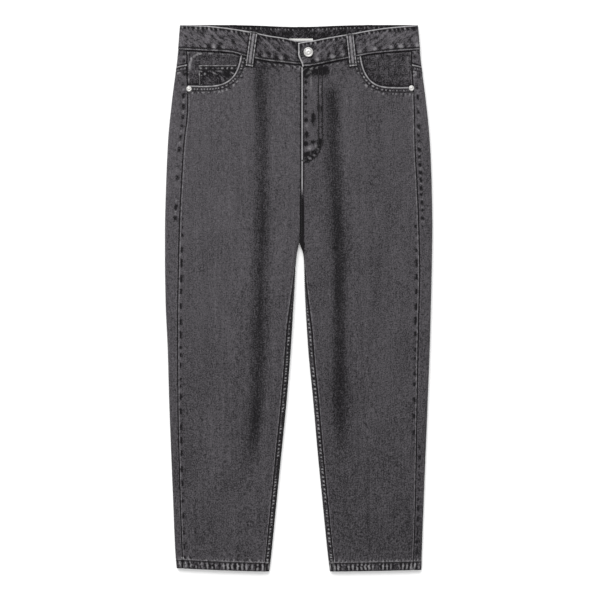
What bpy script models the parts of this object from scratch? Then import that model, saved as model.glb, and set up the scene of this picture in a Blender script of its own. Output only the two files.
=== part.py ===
"""Five-pocket jeans laid flat on their back, as separate cloth pieces around real hollows.

Sizes are in millimetres and become metres when a mesh is made. X runs across the garment,
with the wearer's right leg at -X, +Y towards the waist and +Z up from the surface it lies on.
"down" is the distance below the back waist edge. "girth" runs round one leg's section: along
the upper side from the inner edge to the outer fold, round that fold, back along the underside
and up the inner fold.
"""

import math
from collections import namedtuple

import bmesh
import bpy
from mathutils import Matrix, Vector
from mathutils.geometry import delaunay_2d_cdt

MM = 0.001

# Driving sizes
LENGTH = 983.0
HALF_LENGTH = LENGTH / 2
CENTRE = 5.0
CLOTH = 1.2
SEAM_GAP = 0.3
HALF_GAP = SEAM_GAP / 2
BAND_THICK = 2.6
BAND_PROUD = 0.9
FACING_THICK = 1.0
SHARP_ANGLE = 40.0

# Section of a leg
FOLD_RADIUS = 8.0
GIRTH_INNER = 12.0
GIRTH_TOP = 200.0
GIRTH_FOLD = 26.0
GIRTH_BOTTOM = 200.0
GIRTH_FOLD_END = GIRTH_TOP + GIRTH_FOLD
GIRTH_BOTTOM_END = GIRTH_FOLD_END + GIRTH_BOTTOM
GIRTH_END = GIRTH_BOTTOM_END + GIRTH_INNER
FOLD_WINDOW = 22.0
CROTCH = 372.0
FORK_START = 316.0
SEAT_FORK_START = 344.0

# Hem
HEM_DEPTH = 15.0
HEM_PROUD = 0.5
HEM_THICK = 2.6
HEM_TURN = 3.0
HEM_BEND = 1.4
HEM_RISE = {"right": 5.6, "left": 2.6}

# Fly and centre seam on the wearer's left front
FLY_PROUD = 0.9
FLY_WIDTH = 32.0
FLY_BOTTOM = 249.0
FLY_STRAIGHT_END = 205.0
CENTRE_SEAM_WIDTH = 8.0
CENTRE_SEAM_END = 310.0
CENTRE_SEAM_FADE = 20.0
RELIEF_STEP = 1.5
FLY_ROWS = (84.0, 110.0, 140.0, 170.0, 200.0, 215.0, 228.0, 238.0, 245.0)
EDGE_PROUD = 0.5
POCKET_STRIP = 9.5

# Waist closure, where the left end laps over the right one
UNDER, OVER, RING = "under", "over", "ring"
FLAP_END = -1.0
FLAP_END_PLACES = (-1.0, 0.5, 6.4)
BAND_SHARES = (0.0, 0.5, 1.0)
UNDERLAP = 34.0
UNDERLAP_COLUMNS = (39.0, 28.0, 16.0, 6.0)
FLAP_PROUD = 2.2
UNDERLAP_DROP = 0.7
FLAP_SETTLE = 40.0
UNDERLAP_CLEAR = 8.0
FLAP_CLEAR = 4.0

# Small pieces
LOOP_WIDTH = 13.0
LOOP_THICK = 1.3
LOOP_BOW = 1.6
LOOP_STEPS = 6
LOOP_LIFT = 0.2
LOOP_DROP = 8.0
LABEL_WIDTH = 43.0
LABEL_TOP = 25.0
LABEL_LENGTH = 30.0
LABEL_THICK = 0.8
LABEL_ACROSS = 4.0
BUTTON_ACROSS = 17.3
BUTTON_DOWN = 50.2
BUTTON_SIDES = 24
RIVET_SIDES = 16

RIGHT, LEFT = "right", "left"
SIGN = {RIGHT: -1.0, LEFT: 1.0}

Outline = namedtuple("Outline", "down right left")
Waist = namedtuple("Waist", "out top seam")
Spot = namedtuple("Spot", "out down")
Fold = namedtuple("Fold", "side rise spread start end path")
Loft = namedtuple("Loft", "down height")
Turn = namedtuple("Turn", "radius height")

# Distance of each outer edge from the garment's middle
OUTER_EDGE = (
    Outline(0, 213.5, 214.5),
    Outline(63, 219.0, 220.0),
    Outline(135, 228.2, 229.0),
    Outline(207, 235.3, 236.2),
    Outline(297, 239.3, 240.0),
    Outline(369, 241.0, 241.0),
    Outline(423, 241.0, 240.2),
    Outline(495, 240.0, 238.6),
    Outline(585, 236.0, 236.2),
    Outline(675, 233.5, 232.7),
    Outline(855, 226.4, 225.5),
    Outline(945, 222.6, 222.2),
    Outline(983, 219.6, 221.0),
)

# Distance of each inner edge from the garment's middle, negative where it lies across it
INNER_EDGE = (
    Outline(0, -CENTRE + HALF_GAP, CENTRE + HALF_GAP),
    Outline(CROTCH, -CENTRE + HALF_GAP, CENTRE + HALF_GAP),
    Outline(387, -2.6, 7.0),
    Outline(405, 1.5, 8.0),
    Outline(423, 4.6, 8.6),
    Outline(495, 8.6, 11.3),
    Outline(585, 14.0, 16.7),
    Outline(675, 21.2, 25.4),
    Outline(765, 30.2, 33.2),
    Outline(855, 39.2, 42.0),
    Outline(945, 48.2, 51.0),
    Outline(983, 52.5, 55.4),
)

# Distance of each outer seam from the middle, on the upper side
OUTSEAM = (
    Outline(45, 201.2, 202.0),
    Outline(94, 200.6, 204.4),
    Outline(126, 199.2, 206.6),
    Outline(153, 199.6, 207.6),
    Outline(212, 206.0, 208.8),
    Outline(292, 211.0, 212.6),
    Outline(349, 213.9, 215.2),
    Outline(441, 216.2, 217.2),
    Outline(533, 217.5, 215.2),
    Outline(675, 217.0, 212.6),
    Outline(855, 212.7, 209.6),
    Outline(983, 208.0, 205.6),
)

# Upper edge and lower seam of the waistband's front, by distance out from the middle
WAIST_FRONT = {
    RIGHT: (
        Waist(-45, 28.5, 69.6),
        Waist(2, 29.2, 71.6),
        Waist(23, 24.8, 69.5),
        Waist(54, 20.0, 66.4),
        Waist(85, 13.5, 60.5),
        Waist(127, 6.7, 50.2),
        Waist(172, 2.2, 47.9),
        Waist(219, 0.8, 45.8),
    ),
    LEFT: (
        Waist(-2, 34.0, 77.0),
        Waist(5, 32.2, 76.4),
        Waist(24, 29.2, 74.4),
        Waist(56, 23.2, 68.0),
        Waist(100, 15.6, 59.2),
        Waist(127, 10.6, 54.0),
        Waist(163, 5.5, 49.9),
        Waist(219, 0.8, 45.8),
    ),
}
BACK_WAIST_DIP = 3.6
BACK_WAIST_DIP_SPREAD = 70.0
BACK_WAIST_TOP = 0.4
BAND_HEIGHT = 45.0

# Curved front pocket openings, from the waist seam to the outer seam
POCKET_EDGE = {
    RIGHT: (
        Spot(104.0, 54.0),
        Spot(107.0, 68.0),
        Spot(112.0, 83.0),
        Spot(121.0, 96.0),
        Spot(134.0, 105.0),
        Spot(150.0, 109.2),
        Spot(171.0, 110.4),
        Spot(193.0, 109.8),
        Spot(206.0, 109.4),
    ),
    LEFT: (
        Spot(111.0, 54.0),
        Spot(115.0, 74.0),
        Spot(121.0, 89.0),
        Spot(131.0, 102.0),
        Spot(146.0, 110.0),
        Spot(167.0, 112.6),
        Spot(198.0, 112.6),
        Spot(212.0, 112.4),
    ),
}
FACING_TUCK = 20.0
FACING_DROP = 1.9
FACING_INSET = 4.0
FACING_CLEARANCE = 12.0
COIN_INNER, COIN_OUTER = 110.0, 179.6
COIN_TOP = 72.8
COIN_THICK = 1.0
COIN_CLEARANCE = 0.9
COIN_FADE = 40.0
COIN_PITCH = 8.0
RIVETS = {RIGHT: Spot(197.0, 116.0), LEFT: Spot(202.4, 114.6)}

# Back pockets, seen from the front through the garment
BACK_POCKET = (
    Spot(40.0, 139.0),
    Spot(188.0, 127.0),
    Spot(181.0, 262.0),
    Spot(113.0, 294.0),
    Spot(47.0, 272.0),
)
POCKET_STEPS = 3
POCKET_LIFT = 1.5
LIFT_MARGIN = 2.5
LIFT_SPREAD = 14.0
CORNER_REACH = 1.25
YOKE_SIDE = 76.5
YOKE_CENTRE = 124.0
BAND_LIFT_REACH = 170.0
BAND_LIFT_END = 60.0
BAND_LIFT_FADE = 30.0

FRONT_LOOPS = {
    RIGHT: (Spot(80.4, 13.6), Spot(88.9, 75.0)),
    LEFT: (Spot(91.6, 17.0), Spot(97.8, 75.0)),
}
BACK_LOOPS = {
    "belt_loop_back_right": -118.0,
    "belt_loop_centre_back": 4.0,
    "belt_loop_back_left": 126.0,
}
BACK_LOOP_END = 57.0

# Height of the folded edges along the garment
EDGE_HEIGHT = (
    Loft(0, 13.4),
    Loft(60, 13.2),
    Loft(200, 12.8),
    Loft(420, 13.0),
    Loft(620, 12.4),
    Loft(800, 11.2),
    Loft(983, 10.2),
)

# Inner seam: how far round the inner fold it has come, from the fold's middle at the crotch
INSEAM = (
    Loft(CROTCH, 0.0),
    Loft(423, 3.0),
    Loft(495, 9.5),
    Loft(560, 13.6),
    Loft(983, 14.2),
)

# Long soft folds of the upper side; each path is a row of distance out and down
FOLDS = (
    Fold(RIGHT, 3.6, 13.0, (60, 60), (700, 110),
         (Spot(95, 92), Spot(102, 200), Spot(120, 362), Spot(140, 460), Spot(140, 711))),
    Fold(RIGHT, -3.6, 13.5, (60, 40), (720, 110),
         (Spot(70, 92), Spot(66, 218), Spot(66, 344), Spot(68, 488), Spot(77, 711), Spot(92, 790))),
    Fold(RIGHT, 3.4, 12.0, (230, 70), (640, 120),
         (Spot(18, 290), Spot(17, 344), Spot(27, 434), Spot(34, 567), Spot(47, 711))),
    Fold(LEFT, -3.8, 13.5, (90, 50), (700, 110),
         (Spot(61, 128), Spot(65, 236), Spot(69, 344), Spot(73, 452), Spot(75, 765))),
    Fold(LEFT, 3.6, 13.0, (90, 60), (660, 120),
         (Spot(90, 128), Spot(99, 236), Spot(112, 320), Spot(121, 430), Spot(135, 711))),
    Fold(LEFT, 2.2, 12.0, (240, 70), (560, 120),
         (Spot(26, 290), Spot(28, 344), Spot(38, 452), Spot(46, 600))),
    Fold(LEFT, 1.6, 30.0, (120, 80), (860, 90), (Spot(170, 200), Spot(180, 500), Spot(150, 860))),
    Fold(RIGHT, 1.4, 30.0, (120, 80), (860, 90), (Spot(175, 200), Spot(185, 500), Spot(150, 860))),
)

# Turned profiles of the metal pieces, from the axis out and back to it
BUTTON_PROFILE = (
    Turn(0.0, 0.0),
    Turn(6.6, 0.0),
    Turn(8.2, 0.7),
    Turn(8.6, 1.6),
    Turn(8.3, 2.5),
    Turn(7.4, 3.0),
    Turn(6.4, 2.7),
    Turn(0.0, 2.9),
)
RIVET_PROFILE = (
    Turn(0.0, 0.0),
    Turn(4.8, 0.0),
    Turn(4.7, 0.6),
    Turn(3.7, 1.2),
    Turn(2.4, 1.2),
    Turn(1.6, 1.7),
    Turn(0.0, 1.9),
)

# Rows and columns of mesh points that every panel shares
ROW_PITCHES = (
    (50, 122, 12.0),
    (122, 320, 24.75),
    (320, 400, 11.43),
    (400, 520, 24.0),
    (520, 960, 40.0),
)
HEM_ROWS = (965.0, 969.5)
TOP_COLUMNS = 16
FOLD_COLUMNS = 6
BOTTOM_COLUMNS = 5
INNER_COLUMNS = 3
LEAST_CLEARANCE = 3.2
ROW_CLEARANCE = 4.0
COLUMN_CLEARANCE = 2.0
CORNER_CLEARANCE = 6.0
POCKET_PITCH = 9.0
CORNER_STEP = 1.0
NORMAL_REACH = 1.5

DENIM = ("denim", (0.073, 0.069, 0.076), 0.92, 0.0)
DARK_DENIM = ("dark_denim", (0.055, 0.052, 0.058), 0.94, 0.0)
PALE_METAL = ("silver_metal", (0.60, 0.59, 0.57), 0.32, 1.0)
LABEL_CLOTH = ("white_label", (0.72, 0.71, 0.69), 0.8, 0.0)


def ease(value):
    """Smooth step from 0 to 1."""
    value = min(max(value, 0.0), 1.0)
    return value * value * (3.0 - 2.0 * value)


def mix(start, end, share):
    """Straight blend of two values."""
    return start + (end - start) * share


def curve(rows, key, value):
    """Return a smooth function of the key column that passes through the value column."""
    keys = [getattr(row, key) for row in rows]
    values = [getattr(row, value) for row in rows]
    steps = [(values[i + 1] - values[i]) / (keys[i + 1] - keys[i]) for i in range(len(keys) - 1)]
    slopes = [steps[0]]
    for before, after in zip(steps, steps[1:]):
        same_way = before * after > 0
        slopes.append(2 * before * after / (before + after) if same_way else 0.0)
    slopes.append(steps[-1])

    def at(position):
        if position <= keys[0]:
            return values[0] + slopes[0] * (position - keys[0])
        if position >= keys[-1]:
            return values[-1] + slopes[-1] * (position - keys[-1])
        i = next(n for n in range(len(keys) - 1) if position <= keys[n + 1])
        span = keys[i + 1] - keys[i]
        t = (position - keys[i]) / span
        return (
            values[i] * (1 + 2 * t) * (1 - t) ** 2
            + slopes[i] * span * t * (1 - t) ** 2
            + values[i + 1] * t * t * (3 - 2 * t)
            + slopes[i + 1] * span * t * t * (t - 1)
        )

    return at


OUTER = {side: curve(OUTER_EDGE, "down", side) for side in SIGN}
INNER = {side: curve(INNER_EDGE, "down", side) for side in SIGN}
SIDE_SEAM = {side: curve(OUTSEAM, "down", side) for side in SIGN}
WAIST_TOP = {side: curve(WAIST_FRONT[side], "out", "top") for side in SIGN}
WAIST_SEAM = {side: curve(WAIST_FRONT[side], "out", "seam") for side in SIGN}
HEIGHT = curve(EDGE_HEIGHT, "down", "height")
INSEAM_RISE = curve(INSEAM, "down", "height")
FOLD_PATHS = [curve(fold.path, "down", "out") for fold in FOLDS]


def back_waist(out):
    """Back waist edge, which dips a little in the middle."""
    return BACK_WAIST_DIP * math.exp(-((out / BACK_WAIST_DIP_SPREAD) ** 2)) + BACK_WAIST_TOP


def hem_line(side, share):
    """Hem edge from the inner leg, 0, to the outer fold, 1."""
    return LENGTH - HEM_RISE[side] * share ** HEM_BEND


def distance_to_path(point, path):
    """Shortest distance from a flat point to a chain of points."""
    best = 1e9
    spot = Vector(point)
    for a, b in zip(path, path[1:]):
        a, b = Vector(a), Vector(b)
        run = b - a
        share = min(max((spot - a).dot(run) / max(run.length_squared, 1e-9), 0.0), 1.0)
        best = min(best, (spot - a - run * share).length)
    return best


def inside(point, outline):
    """True where a flat point lies inside a closed outline."""
    x, y = point
    odd = False
    for (ax, ay), (bx, by) in zip(outline, outline[1:] + outline[:1]):
        if (ay > y) != (by > y) and x < (bx - ax) * (y - ay) / (by - ay) + ax:
            odd = not odd
    return odd


def smooth_path(points, pitch):
    """Catmull-Rom curve through flat points, with a point about every pitch."""
    padded = [points[0]] + list(points) + [points[-1]]
    path = []
    for before, a, b, after in zip(padded, padded[1:], padded[2:], padded[3:]):
        count = max(1, round(math.dist(a, b) / pitch))
        for step in range(count):
            t = step / count
            path.append(tuple(
                0.5 * (2 * p1 + (p2 - p0) * t + (2 * p0 - 5 * p1 + 4 * p2 - p3) * t * t
                       + (3 * p1 - p0 - 3 * p2 + p3) * t ** 3)
                for p0, p1, p2, p3 in zip(before, a, b, after)
            ))
    path.append(tuple(points[-1]))
    return path


def grown(outline, margin):
    """Closed outline with its corners moved out from its middle, a little past a margin."""
    middle_x = sum(p[0] for p in outline) / len(outline)
    middle_y = sum(p[1] for p in outline) / len(outline)
    moved = []
    for x, y in outline:
        way = Vector((x - middle_x, y - middle_y))
        moved.append(tuple(Vector((x, y)) + way.normalized() * margin * CORNER_REACH))
    return moved


BACK_POCKET_LOOP = [tuple(spot) for spot in BACK_POCKET]


def underside_lift(out, down):
    """Height of the underside where back pockets and back belt loops lie below it."""
    gap = 0.0
    if not inside((out, down), BACK_POCKET_LOOP):
        gap = distance_to_path((out, down), BACK_POCKET_LOOP + BACK_POCKET_LOOP[:1])
    pocket = 1.0 - ease((gap - LIFT_MARGIN) / (LIFT_SPREAD - LIFT_MARGIN))
    band = 1.0 - ease((down - BAND_LIFT_END) / BAND_LIFT_FADE)
    band *= 1.0 - ease((out - BAND_LIFT_REACH) / BAND_LIFT_FADE)
    return POCKET_LIFT * max(pocket, band)


def fold_rise(side, out, down):
    """Sum of the long folds at a place on the upper side."""
    rise = 0.0
    for fold, path in zip(FOLDS, FOLD_PATHS):
        if fold.side != side:
            continue
        start, fade_in = fold.start
        end, fade_out = fold.end
        strength = ease((down - start) / fade_in) * (1.0 - ease((down - end) / fade_out))
        if strength > 0.0:
            rise += fold.rise * strength * math.exp(-(((out - path(down)) / fold.spread) ** 2))
    return rise


def fork(down, start):
    """How far the inner edge has turned into a fold, from 0 in the seat to 1 at the crotch."""
    return ease((down - start) / (CROTCH - start))


def upper_height(side, out, down):
    """Height of the upper side at a distance out from the middle."""
    outer = ease((OUTER[side](down) - FOLD_RADIUS - out) / FOLD_WINDOW)
    inner = ease((out - INNER[side](down) - FOLD_RADIUS) / FOLD_WINDOW)
    inner = mix(1.0, inner, fork(down, FORK_START))
    return HEIGHT(down) + fold_rise(side, out, down) * outer * inner


def on_section(side, girth, down):
    """Return distance out and height of the garment's outer skin at a girth."""
    if girth > GIRTH_END:
        girth -= GIRTH_END + GIRTH_INNER
    outer, inner = OUTER[side](down), INNER[side](down)
    flat_outer, flat_inner = outer - FOLD_RADIUS, inner + FOLD_RADIUS
    if girth < 0.0:
        turn = -girth / GIRTH_INNER * math.pi / 2
        out = flat_inner - FOLD_RADIUS * math.sin(turn)
        drop = fork(down, FORK_START) * HEIGHT(down) / 2
        return out, upper_height(side, out, down) - drop * (1.0 - math.cos(turn))
    if girth <= GIRTH_TOP:
        out = mix(flat_inner, flat_outer, girth / GIRTH_TOP)
        return out, upper_height(side, out, down)
    if girth <= GIRTH_FOLD_END:
        turn = (girth - GIRTH_TOP) / GIRTH_FOLD * math.pi
        half = HEIGHT(down) / 2
        low = underside_lift(flat_outer, down)
        out = flat_outer + FOLD_RADIUS * math.sin(turn)
        return out, half + half * math.cos(turn) + low * (1.0 - math.cos(turn)) / 2
    if girth <= GIRTH_BOTTOM_END:
        out = mix(flat_outer, flat_inner, (girth - GIRTH_FOLD_END) / GIRTH_BOTTOM)
        return out, underside_lift(out, down)
    turn = (girth - GIRTH_BOTTOM_END) / GIRTH_INNER * math.pi / 2
    out = flat_inner - FOLD_RADIUS * math.sin(turn)
    rise = fork(down, SEAT_FORK_START) * HEIGHT(down) / 2
    return out, underside_lift(out, down) + rise * (1.0 - math.cos(turn))


def skin(side, girth, down):
    """Point of the outer skin, in the garment's own frame."""
    out, height = on_section(side, girth, down)
    return Vector((SIGN[side] * out, HALF_LENGTH - down, height))


def placed(side, girth, down, offset):
    """Point moved out of the skin by an offset along its normal."""
    before, after = girth - NORMAL_REACH, girth + NORMAL_REACH
    if down <= CROTCH:
        before = max(before, -GIRTH_INNER)
        after = min(after, GIRTH_END)
    across = skin(side, after, down) - skin(side, before, down)
    along = skin(side, girth, down + NORMAL_REACH) - skin(side, girth, down - NORMAL_REACH)
    normal = across.cross(along).normalized() * SIGN[side]
    return skin(side, girth, down) - normal * offset


def side_of(across):
    """Which leg's skin covers a place across the seat."""
    return RIGHT if across < CENTRE else LEFT


def on_top(across, down, offset):
    """Point on the upper side of the seat, moved out of the skin."""
    side = side_of(across)
    return placed(side, girth_above(side, SIGN[side] * across, down), down, offset)


def underneath(across, down, offset):
    """Point on the underside of the seat, moved out of the skin."""
    return Vector((across, HALF_LENGTH - down, underside_lift(abs(across), down) - offset))


def girth_above(side, out, down):
    """Girth of a place on the upper side, from its distance out."""
    inner = INNER[side](down) + FOLD_RADIUS
    outer = OUTER[side](down) - FOLD_RADIUS
    if out < inner:
        turn = math.asin(min((inner - out) / FOLD_RADIUS, 1.0))
        return -GIRTH_INNER * turn / (math.pi / 2)
    if out > outer:
        turn = math.asin(min((out - outer) / FOLD_RADIUS, 1.0))
        return GIRTH_TOP + GIRTH_FOLD * turn / math.pi
    return GIRTH_TOP * (out - inner) / (outer - inner)


def girth_below(side, out, down):
    """Girth of a place on the underside, from its distance out."""
    inner = INNER[side](down) + FOLD_RADIUS
    outer = OUTER[side](down) - FOLD_RADIUS
    return GIRTH_FOLD_END + GIRTH_BOTTOM * (outer - out) / (outer - inner)


def shared_rows():
    """Rows of mesh points down the garment."""
    rows = []
    for start, end, pitch in ROW_PITCHES:
        count = round((end - start) / pitch)
        rows += [mix(start, end, step / count) for step in range(count)]
    return rows + [ROW_PITCHES[-1][1], *HEM_ROWS]


def shared_columns():
    """Columns of mesh points round a leg, once round and a little over."""
    columns = [-GIRTH_INNER + GIRTH_INNER * n / INNER_COLUMNS for n in range(INNER_COLUMNS)]
    columns += [GIRTH_TOP * n / TOP_COLUMNS for n in range(TOP_COLUMNS)]
    columns += [GIRTH_TOP + GIRTH_FOLD * n / FOLD_COLUMNS for n in range(FOLD_COLUMNS)]
    columns += [GIRTH_FOLD_END + GIRTH_BOTTOM * n / BOTTOM_COLUMNS for n in range(BOTTOM_COLUMNS)]
    columns += [GIRTH_BOTTOM_END + GIRTH_INNER * n / INNER_COLUMNS for n in range(INNER_COLUMNS)]
    columns += [GIRTH_END + GIRTH_INNER * n / INNER_COLUMNS for n in range(INNER_COLUMNS + 1)]
    return columns


ROWS = shared_rows()
COLUMNS = shared_columns()


def finish_object(name, mesh_builder, look):
    """Make a named object with its own material from a finished bmesh."""
    bmesh.ops.recalc_face_normals(mesh_builder, faces=mesh_builder.faces)
    mesh = bpy.data.meshes.new(name)
    mesh_builder.to_mesh(mesh)
    mesh_builder.free()
    mesh.shade_smooth()
    mesh.set_sharp_from_angle(angle=math.radians(SHARP_ANGLE))
    label, colour, roughness, metallic = look
    material = bpy.data.materials.new(f"{name}_{label}")
    material.use_nodes = True
    shader = material.node_tree.nodes["Principled BSDF"]
    shader.inputs["Base Color"].default_value = (*colour, 1.0)
    shader.inputs["Roughness"].default_value = roughness
    shader.inputs["Metallic"].default_value = metallic
    material.diffuse_color = (*colour, 1.0)
    mesh.materials.append(material)
    made = bpy.data.objects.new(name, mesh)
    bpy.context.scene.collection.objects.link(made)
    return made


def cut_points(outline, creases):
    """Flat points and edges of a pattern piece: its outline, creases and inner lattice."""
    points = list(outline)
    edges = [(n, (n + 1) % len(outline)) for n in range(len(outline))]
    rings = [outline + outline[:1]]
    for crease in creases:
        first = len(points)
        points += crease
        edges += [(first + n, first + n + 1) for n in range(len(crease) - 1)]
        rings.append(crease)
    for row in ROWS:
        for column in COLUMNS:
            spot = (column, row)
            if not inside(spot, outline):
                continue
            if min(distance_to_path(spot, ring) for ring in rings) > LEAST_CLEARANCE:
                points.append(spot)
    return points, edges


def cloth(name, look, side, outline, outer, inner, creases=()):
    """Make a closed cloth wall from a flat outline of girth and down.

    outer and inner give the offsets of the wall's two faces at a flat point.
    """
    points, edges = cut_points(outline, creases)
    flat = [Vector(point) for point in points]
    ring = list(range(len(outline)))
    found, _, triangles, came_from, _, covers = delaunay_2d_cdt(flat, edges, [ring], 0, 1e-5, True)
    builder = bmesh.new()
    tops = [builder.verts.new(placed(side, p.x, p.y, outer(p.x, p.y)) * MM) for p in found]
    lows = [builder.verts.new(placed(side, p.x, p.y, inner(p.x, p.y)) * MM) for p in found]
    for (a, b, c), covered in zip(triangles, covers):
        if covered:
            builder.faces.new((tops[a], tops[b], tops[c]))
            builder.faces.new((lows[c], lows[b], lows[a]))
    new_index = {}
    for index, origins in enumerate(came_from):
        for origin in origins:
            new_index[origin] = index
    for n in ring:
        a, b = new_index[n], new_index[(n + 1) % len(ring)]
        builder.faces.new((tops[b], tops[a], lows[a], lows[b]))
    return finish_object(name, builder, look)


def strip(name, look, sections):
    """Make a closed bar from sections of four points each."""
    builder = bmesh.new()
    rings = [[builder.verts.new(point * MM) for point in section] for section in sections]
    for near, far in zip(rings, rings[1:]):
        for n in range(len(near)):
            m = (n + 1) % len(near)
            builder.faces.new((near[n], near[m], far[m], far[n]))
    builder.faces.new(rings[0])
    builder.faces.new(rings[-1][::-1])
    return finish_object(name, builder, look)


def turned(name, look, profile, sides, middle, normal):
    """Make a round piece from a profile of radius and height, ends on its axis."""
    builder = bmesh.new()
    frame = Matrix.Translation(middle) @ normal.to_track_quat("Z", "Y").to_matrix().to_4x4()
    bottom = builder.verts.new((frame @ Vector((0, 0, profile[0].height))) * MM)
    top = builder.verts.new((frame @ Vector((0, 0, profile[-1].height))) * MM)
    rings = []
    for radius, height in profile[1:-1]:
        ring = []
        for n in range(sides):
            turn = 2 * math.pi * n / sides
            spot = Vector((radius * math.cos(turn), radius * math.sin(turn), height))
            ring.append(builder.verts.new((frame @ spot) * MM))
        rings.append(ring)
    for n in range(sides):
        m = (n + 1) % sides
        builder.faces.new((bottom, rings[0][m], rings[0][n]))
        builder.faces.new((top, rings[-1][n], rings[-1][m]))
        for near, far in zip(rings, rings[1:]):
            builder.faces.new((near[n], near[m], far[m], far[n]))
    return finish_object(name, builder, look)


def is_above(girth):
    """How far a place is on the upper side: 1 there, 0 underneath, eased round each fold."""
    if girth > GIRTH_END:
        girth -= GIRTH_END + GIRTH_INNER
    if girth <= GIRTH_TOP:
        return ease(1.0 + girth / GIRTH_INNER)
    return 1.0 - ease((girth - GIRTH_TOP) / (GIRTH_FOLD / 2))


def hem_share(down):
    """1 on the turned hem and 0 above it."""
    return ease((down - (LENGTH - HEM_DEPTH - HEM_TURN)) / HEM_TURN)


def panel_inner(girth, down):
    """Inner face of a leg panel, deeper on the hem."""
    return -mix(CLOTH, HEM_THICK - HEM_PROUD, hem_share(down))


def band_edge(side, girth, out):
    """Upper edge of the waistband at a girth."""
    return mix(back_waist(out), WAIST_TOP[side](out), is_above(girth))


def band_seam(side, girth, out):
    """Lower seam of the waistband at a girth."""
    return mix(back_waist(out) + BAND_HEIGHT, WAIST_SEAM[side](out), is_above(girth))


def settled(side, girth, line):
    """Place down the garment where a band line crosses a girth."""
    down = BAND_HEIGHT
    for _ in range(3):
        out, _ = on_section(side, girth, down)
        down = line(side, girth, out)
    return down


def pocket_path(side):
    """Pocket edge from the waist seam to the outer seam, as distance out and down."""
    path = smooth_path([tuple(spot) for spot in POCKET_EDGE[side]], POCKET_PITCH)
    start = next(n for n, p in enumerate(path) if p[1] > WAIST_SEAM[side](p[0]) + COLUMN_CLEARANCE)
    end = next(n for n, p in enumerate(path) if p[0] > SIDE_SEAM[side](p[1]) - LEAST_CLEARANCE)
    corner = path[start][0] - CORNER_STEP
    first = (corner, WAIST_SEAM[side](corner) + SEAM_GAP)
    last = (SIDE_SEAM[side](path[end][1]) - HALF_GAP, path[end][1])
    return [first] + path[start:end] + [last]


def seam_downs(start, end):
    """Shared rows strictly between two places down the garment."""
    return [row for row in ROWS if start + LEAST_CLEARANCE < row < end - LEAST_CLEARANCE]


def inseam_girth(down):
    """Girth of the centre seam in the seat and of the inner seam below the crotch."""
    return -GIRTH_INNER if down <= CROTCH else -GIRTH_INNER + INSEAM_RISE(down)


def waist_run(side, start, end):
    """Places along the waist seam's panel side between two distances out."""
    run = [(start, WAIST_SEAM[side](start) + SEAM_GAP)]
    for girth in COLUMNS:
        if not 0.0 <= girth <= GIRTH_TOP:
            continue
        down = settled(side, girth, band_seam)
        out, _ = on_section(side, girth, down)
        if start + ROW_CLEARANCE < out < end - ROW_CLEARANCE:
            run.append((out, down + SEAM_GAP))
    return run + [(end, WAIST_SEAM[side](end) + SEAM_GAP)]


def front_outline(side):
    """Pattern outline of a front leg in girth and down."""
    edge = pocket_path(side)
    middle = INNER[side](0)
    waist = waist_run(side, middle, edge[0][0] - CORNER_CLEARANCE)
    outline = [(girth_above(side, out, down), down) for out, down in waist + edge]
    hem_outer = hem_line(side, 1.0)
    for down in seam_downs(edge[-1][1], hem_outer) + [hem_outer]:
        outline.append((girth_above(side, SIDE_SEAM[side](down) - HALF_GAP, down), down))
    hem_inner = inseam_girth(LENGTH) + HALF_GAP
    hem_start = outline[-1][0]
    low, high = hem_inner + LEAST_CLEARANCE, hem_start - LEAST_CLEARANCE
    for column in reversed([c for c in COLUMNS if low < c < high]):
        outline.append((column, hem_line(side, column / GIRTH_TOP if column > 0 else 0.0)))
    outline.append((hem_inner, LENGTH))
    for down in reversed(seam_downs(outline[0][1], LENGTH)):
        outline.append((inseam_girth(down) + (HALF_GAP if down > CROTCH else 0.0), down))
    return outline


def fly_limit(down):
    """Width of the fly's J shape, and of the seam below it, out from the centre."""
    if down < FLY_STRAIGHT_END:
        return FLY_WIDTH
    if down >= FLY_BOTTOM:
        return CENTRE_SEAM_WIDTH
    share = (down - FLY_STRAIGHT_END) / (FLY_BOTTOM - FLY_STRAIGHT_END)
    return max(FLY_WIDTH * math.sqrt(1.0 - share * share), CENTRE_SEAM_WIDTH)


def fly_proud(out, down):
    """How far the fly and the seam below it stand out of the left front."""
    fade = 1.0 - ease((down - CENTRE_SEAM_END + CENTRE_SEAM_FADE) / CENTRE_SEAM_FADE)
    away = (out - CENTRE - fly_limit(down) + RELIEF_STEP) / (2.0 * RELIEF_STEP)
    return FLY_PROUD * fade * (1.0 - ease(away))


def fly_creases():
    """Flat chains of points along both edges of the fly's relief."""
    chains = []
    for shift in (-RELIEF_STEP, RELIEF_STEP):
        chain = []
        for down in FLY_ROWS:
            out = CENTRE + fly_limit(down) + shift
            chain.append((girth_above(LEFT, out, down), down))
        chains.append(chain)
    return chains


def make_front(side):
    """Front leg, with its pocket edge, hem and, on the left, its fly standing a little proud."""
    edge = pocket_path(side)

    def outer(girth, down):
        out, _ = on_section(side, girth, down)
        proud = HEM_PROUD * hem_share(down) * is_above(girth)
        if down < edge[-1][1] + POCKET_STRIP:
            gap = distance_to_path((out, down), edge)
            proud += EDGE_PROUD * (1.0 - ease(gap / POCKET_STRIP))
        if side == LEFT and down < CENTRE_SEAM_END:
            proud = max(proud, fly_proud(out, down))
        return proud

    creases = fly_creases() if side == LEFT else ()
    return cloth(f"front_{side}", DENIM, side, front_outline(side), outer, panel_inner, creases)


def yoke_line(side, girth):
    """Yoke seam, which falls from the side towards the centre back."""
    start = girth_above(side, SIDE_SEAM[side](YOKE_SIDE), YOKE_SIDE)
    share = (girth - start) / (GIRTH_END - start)
    return mix(YOKE_SIDE, YOKE_CENTRE, share)


def back_columns(start, end):
    """Shared columns strictly between two girths."""
    return [c for c in COLUMNS if start + COLUMN_CLEARANCE < c < end - COLUMN_CLEARANCE]


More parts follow.
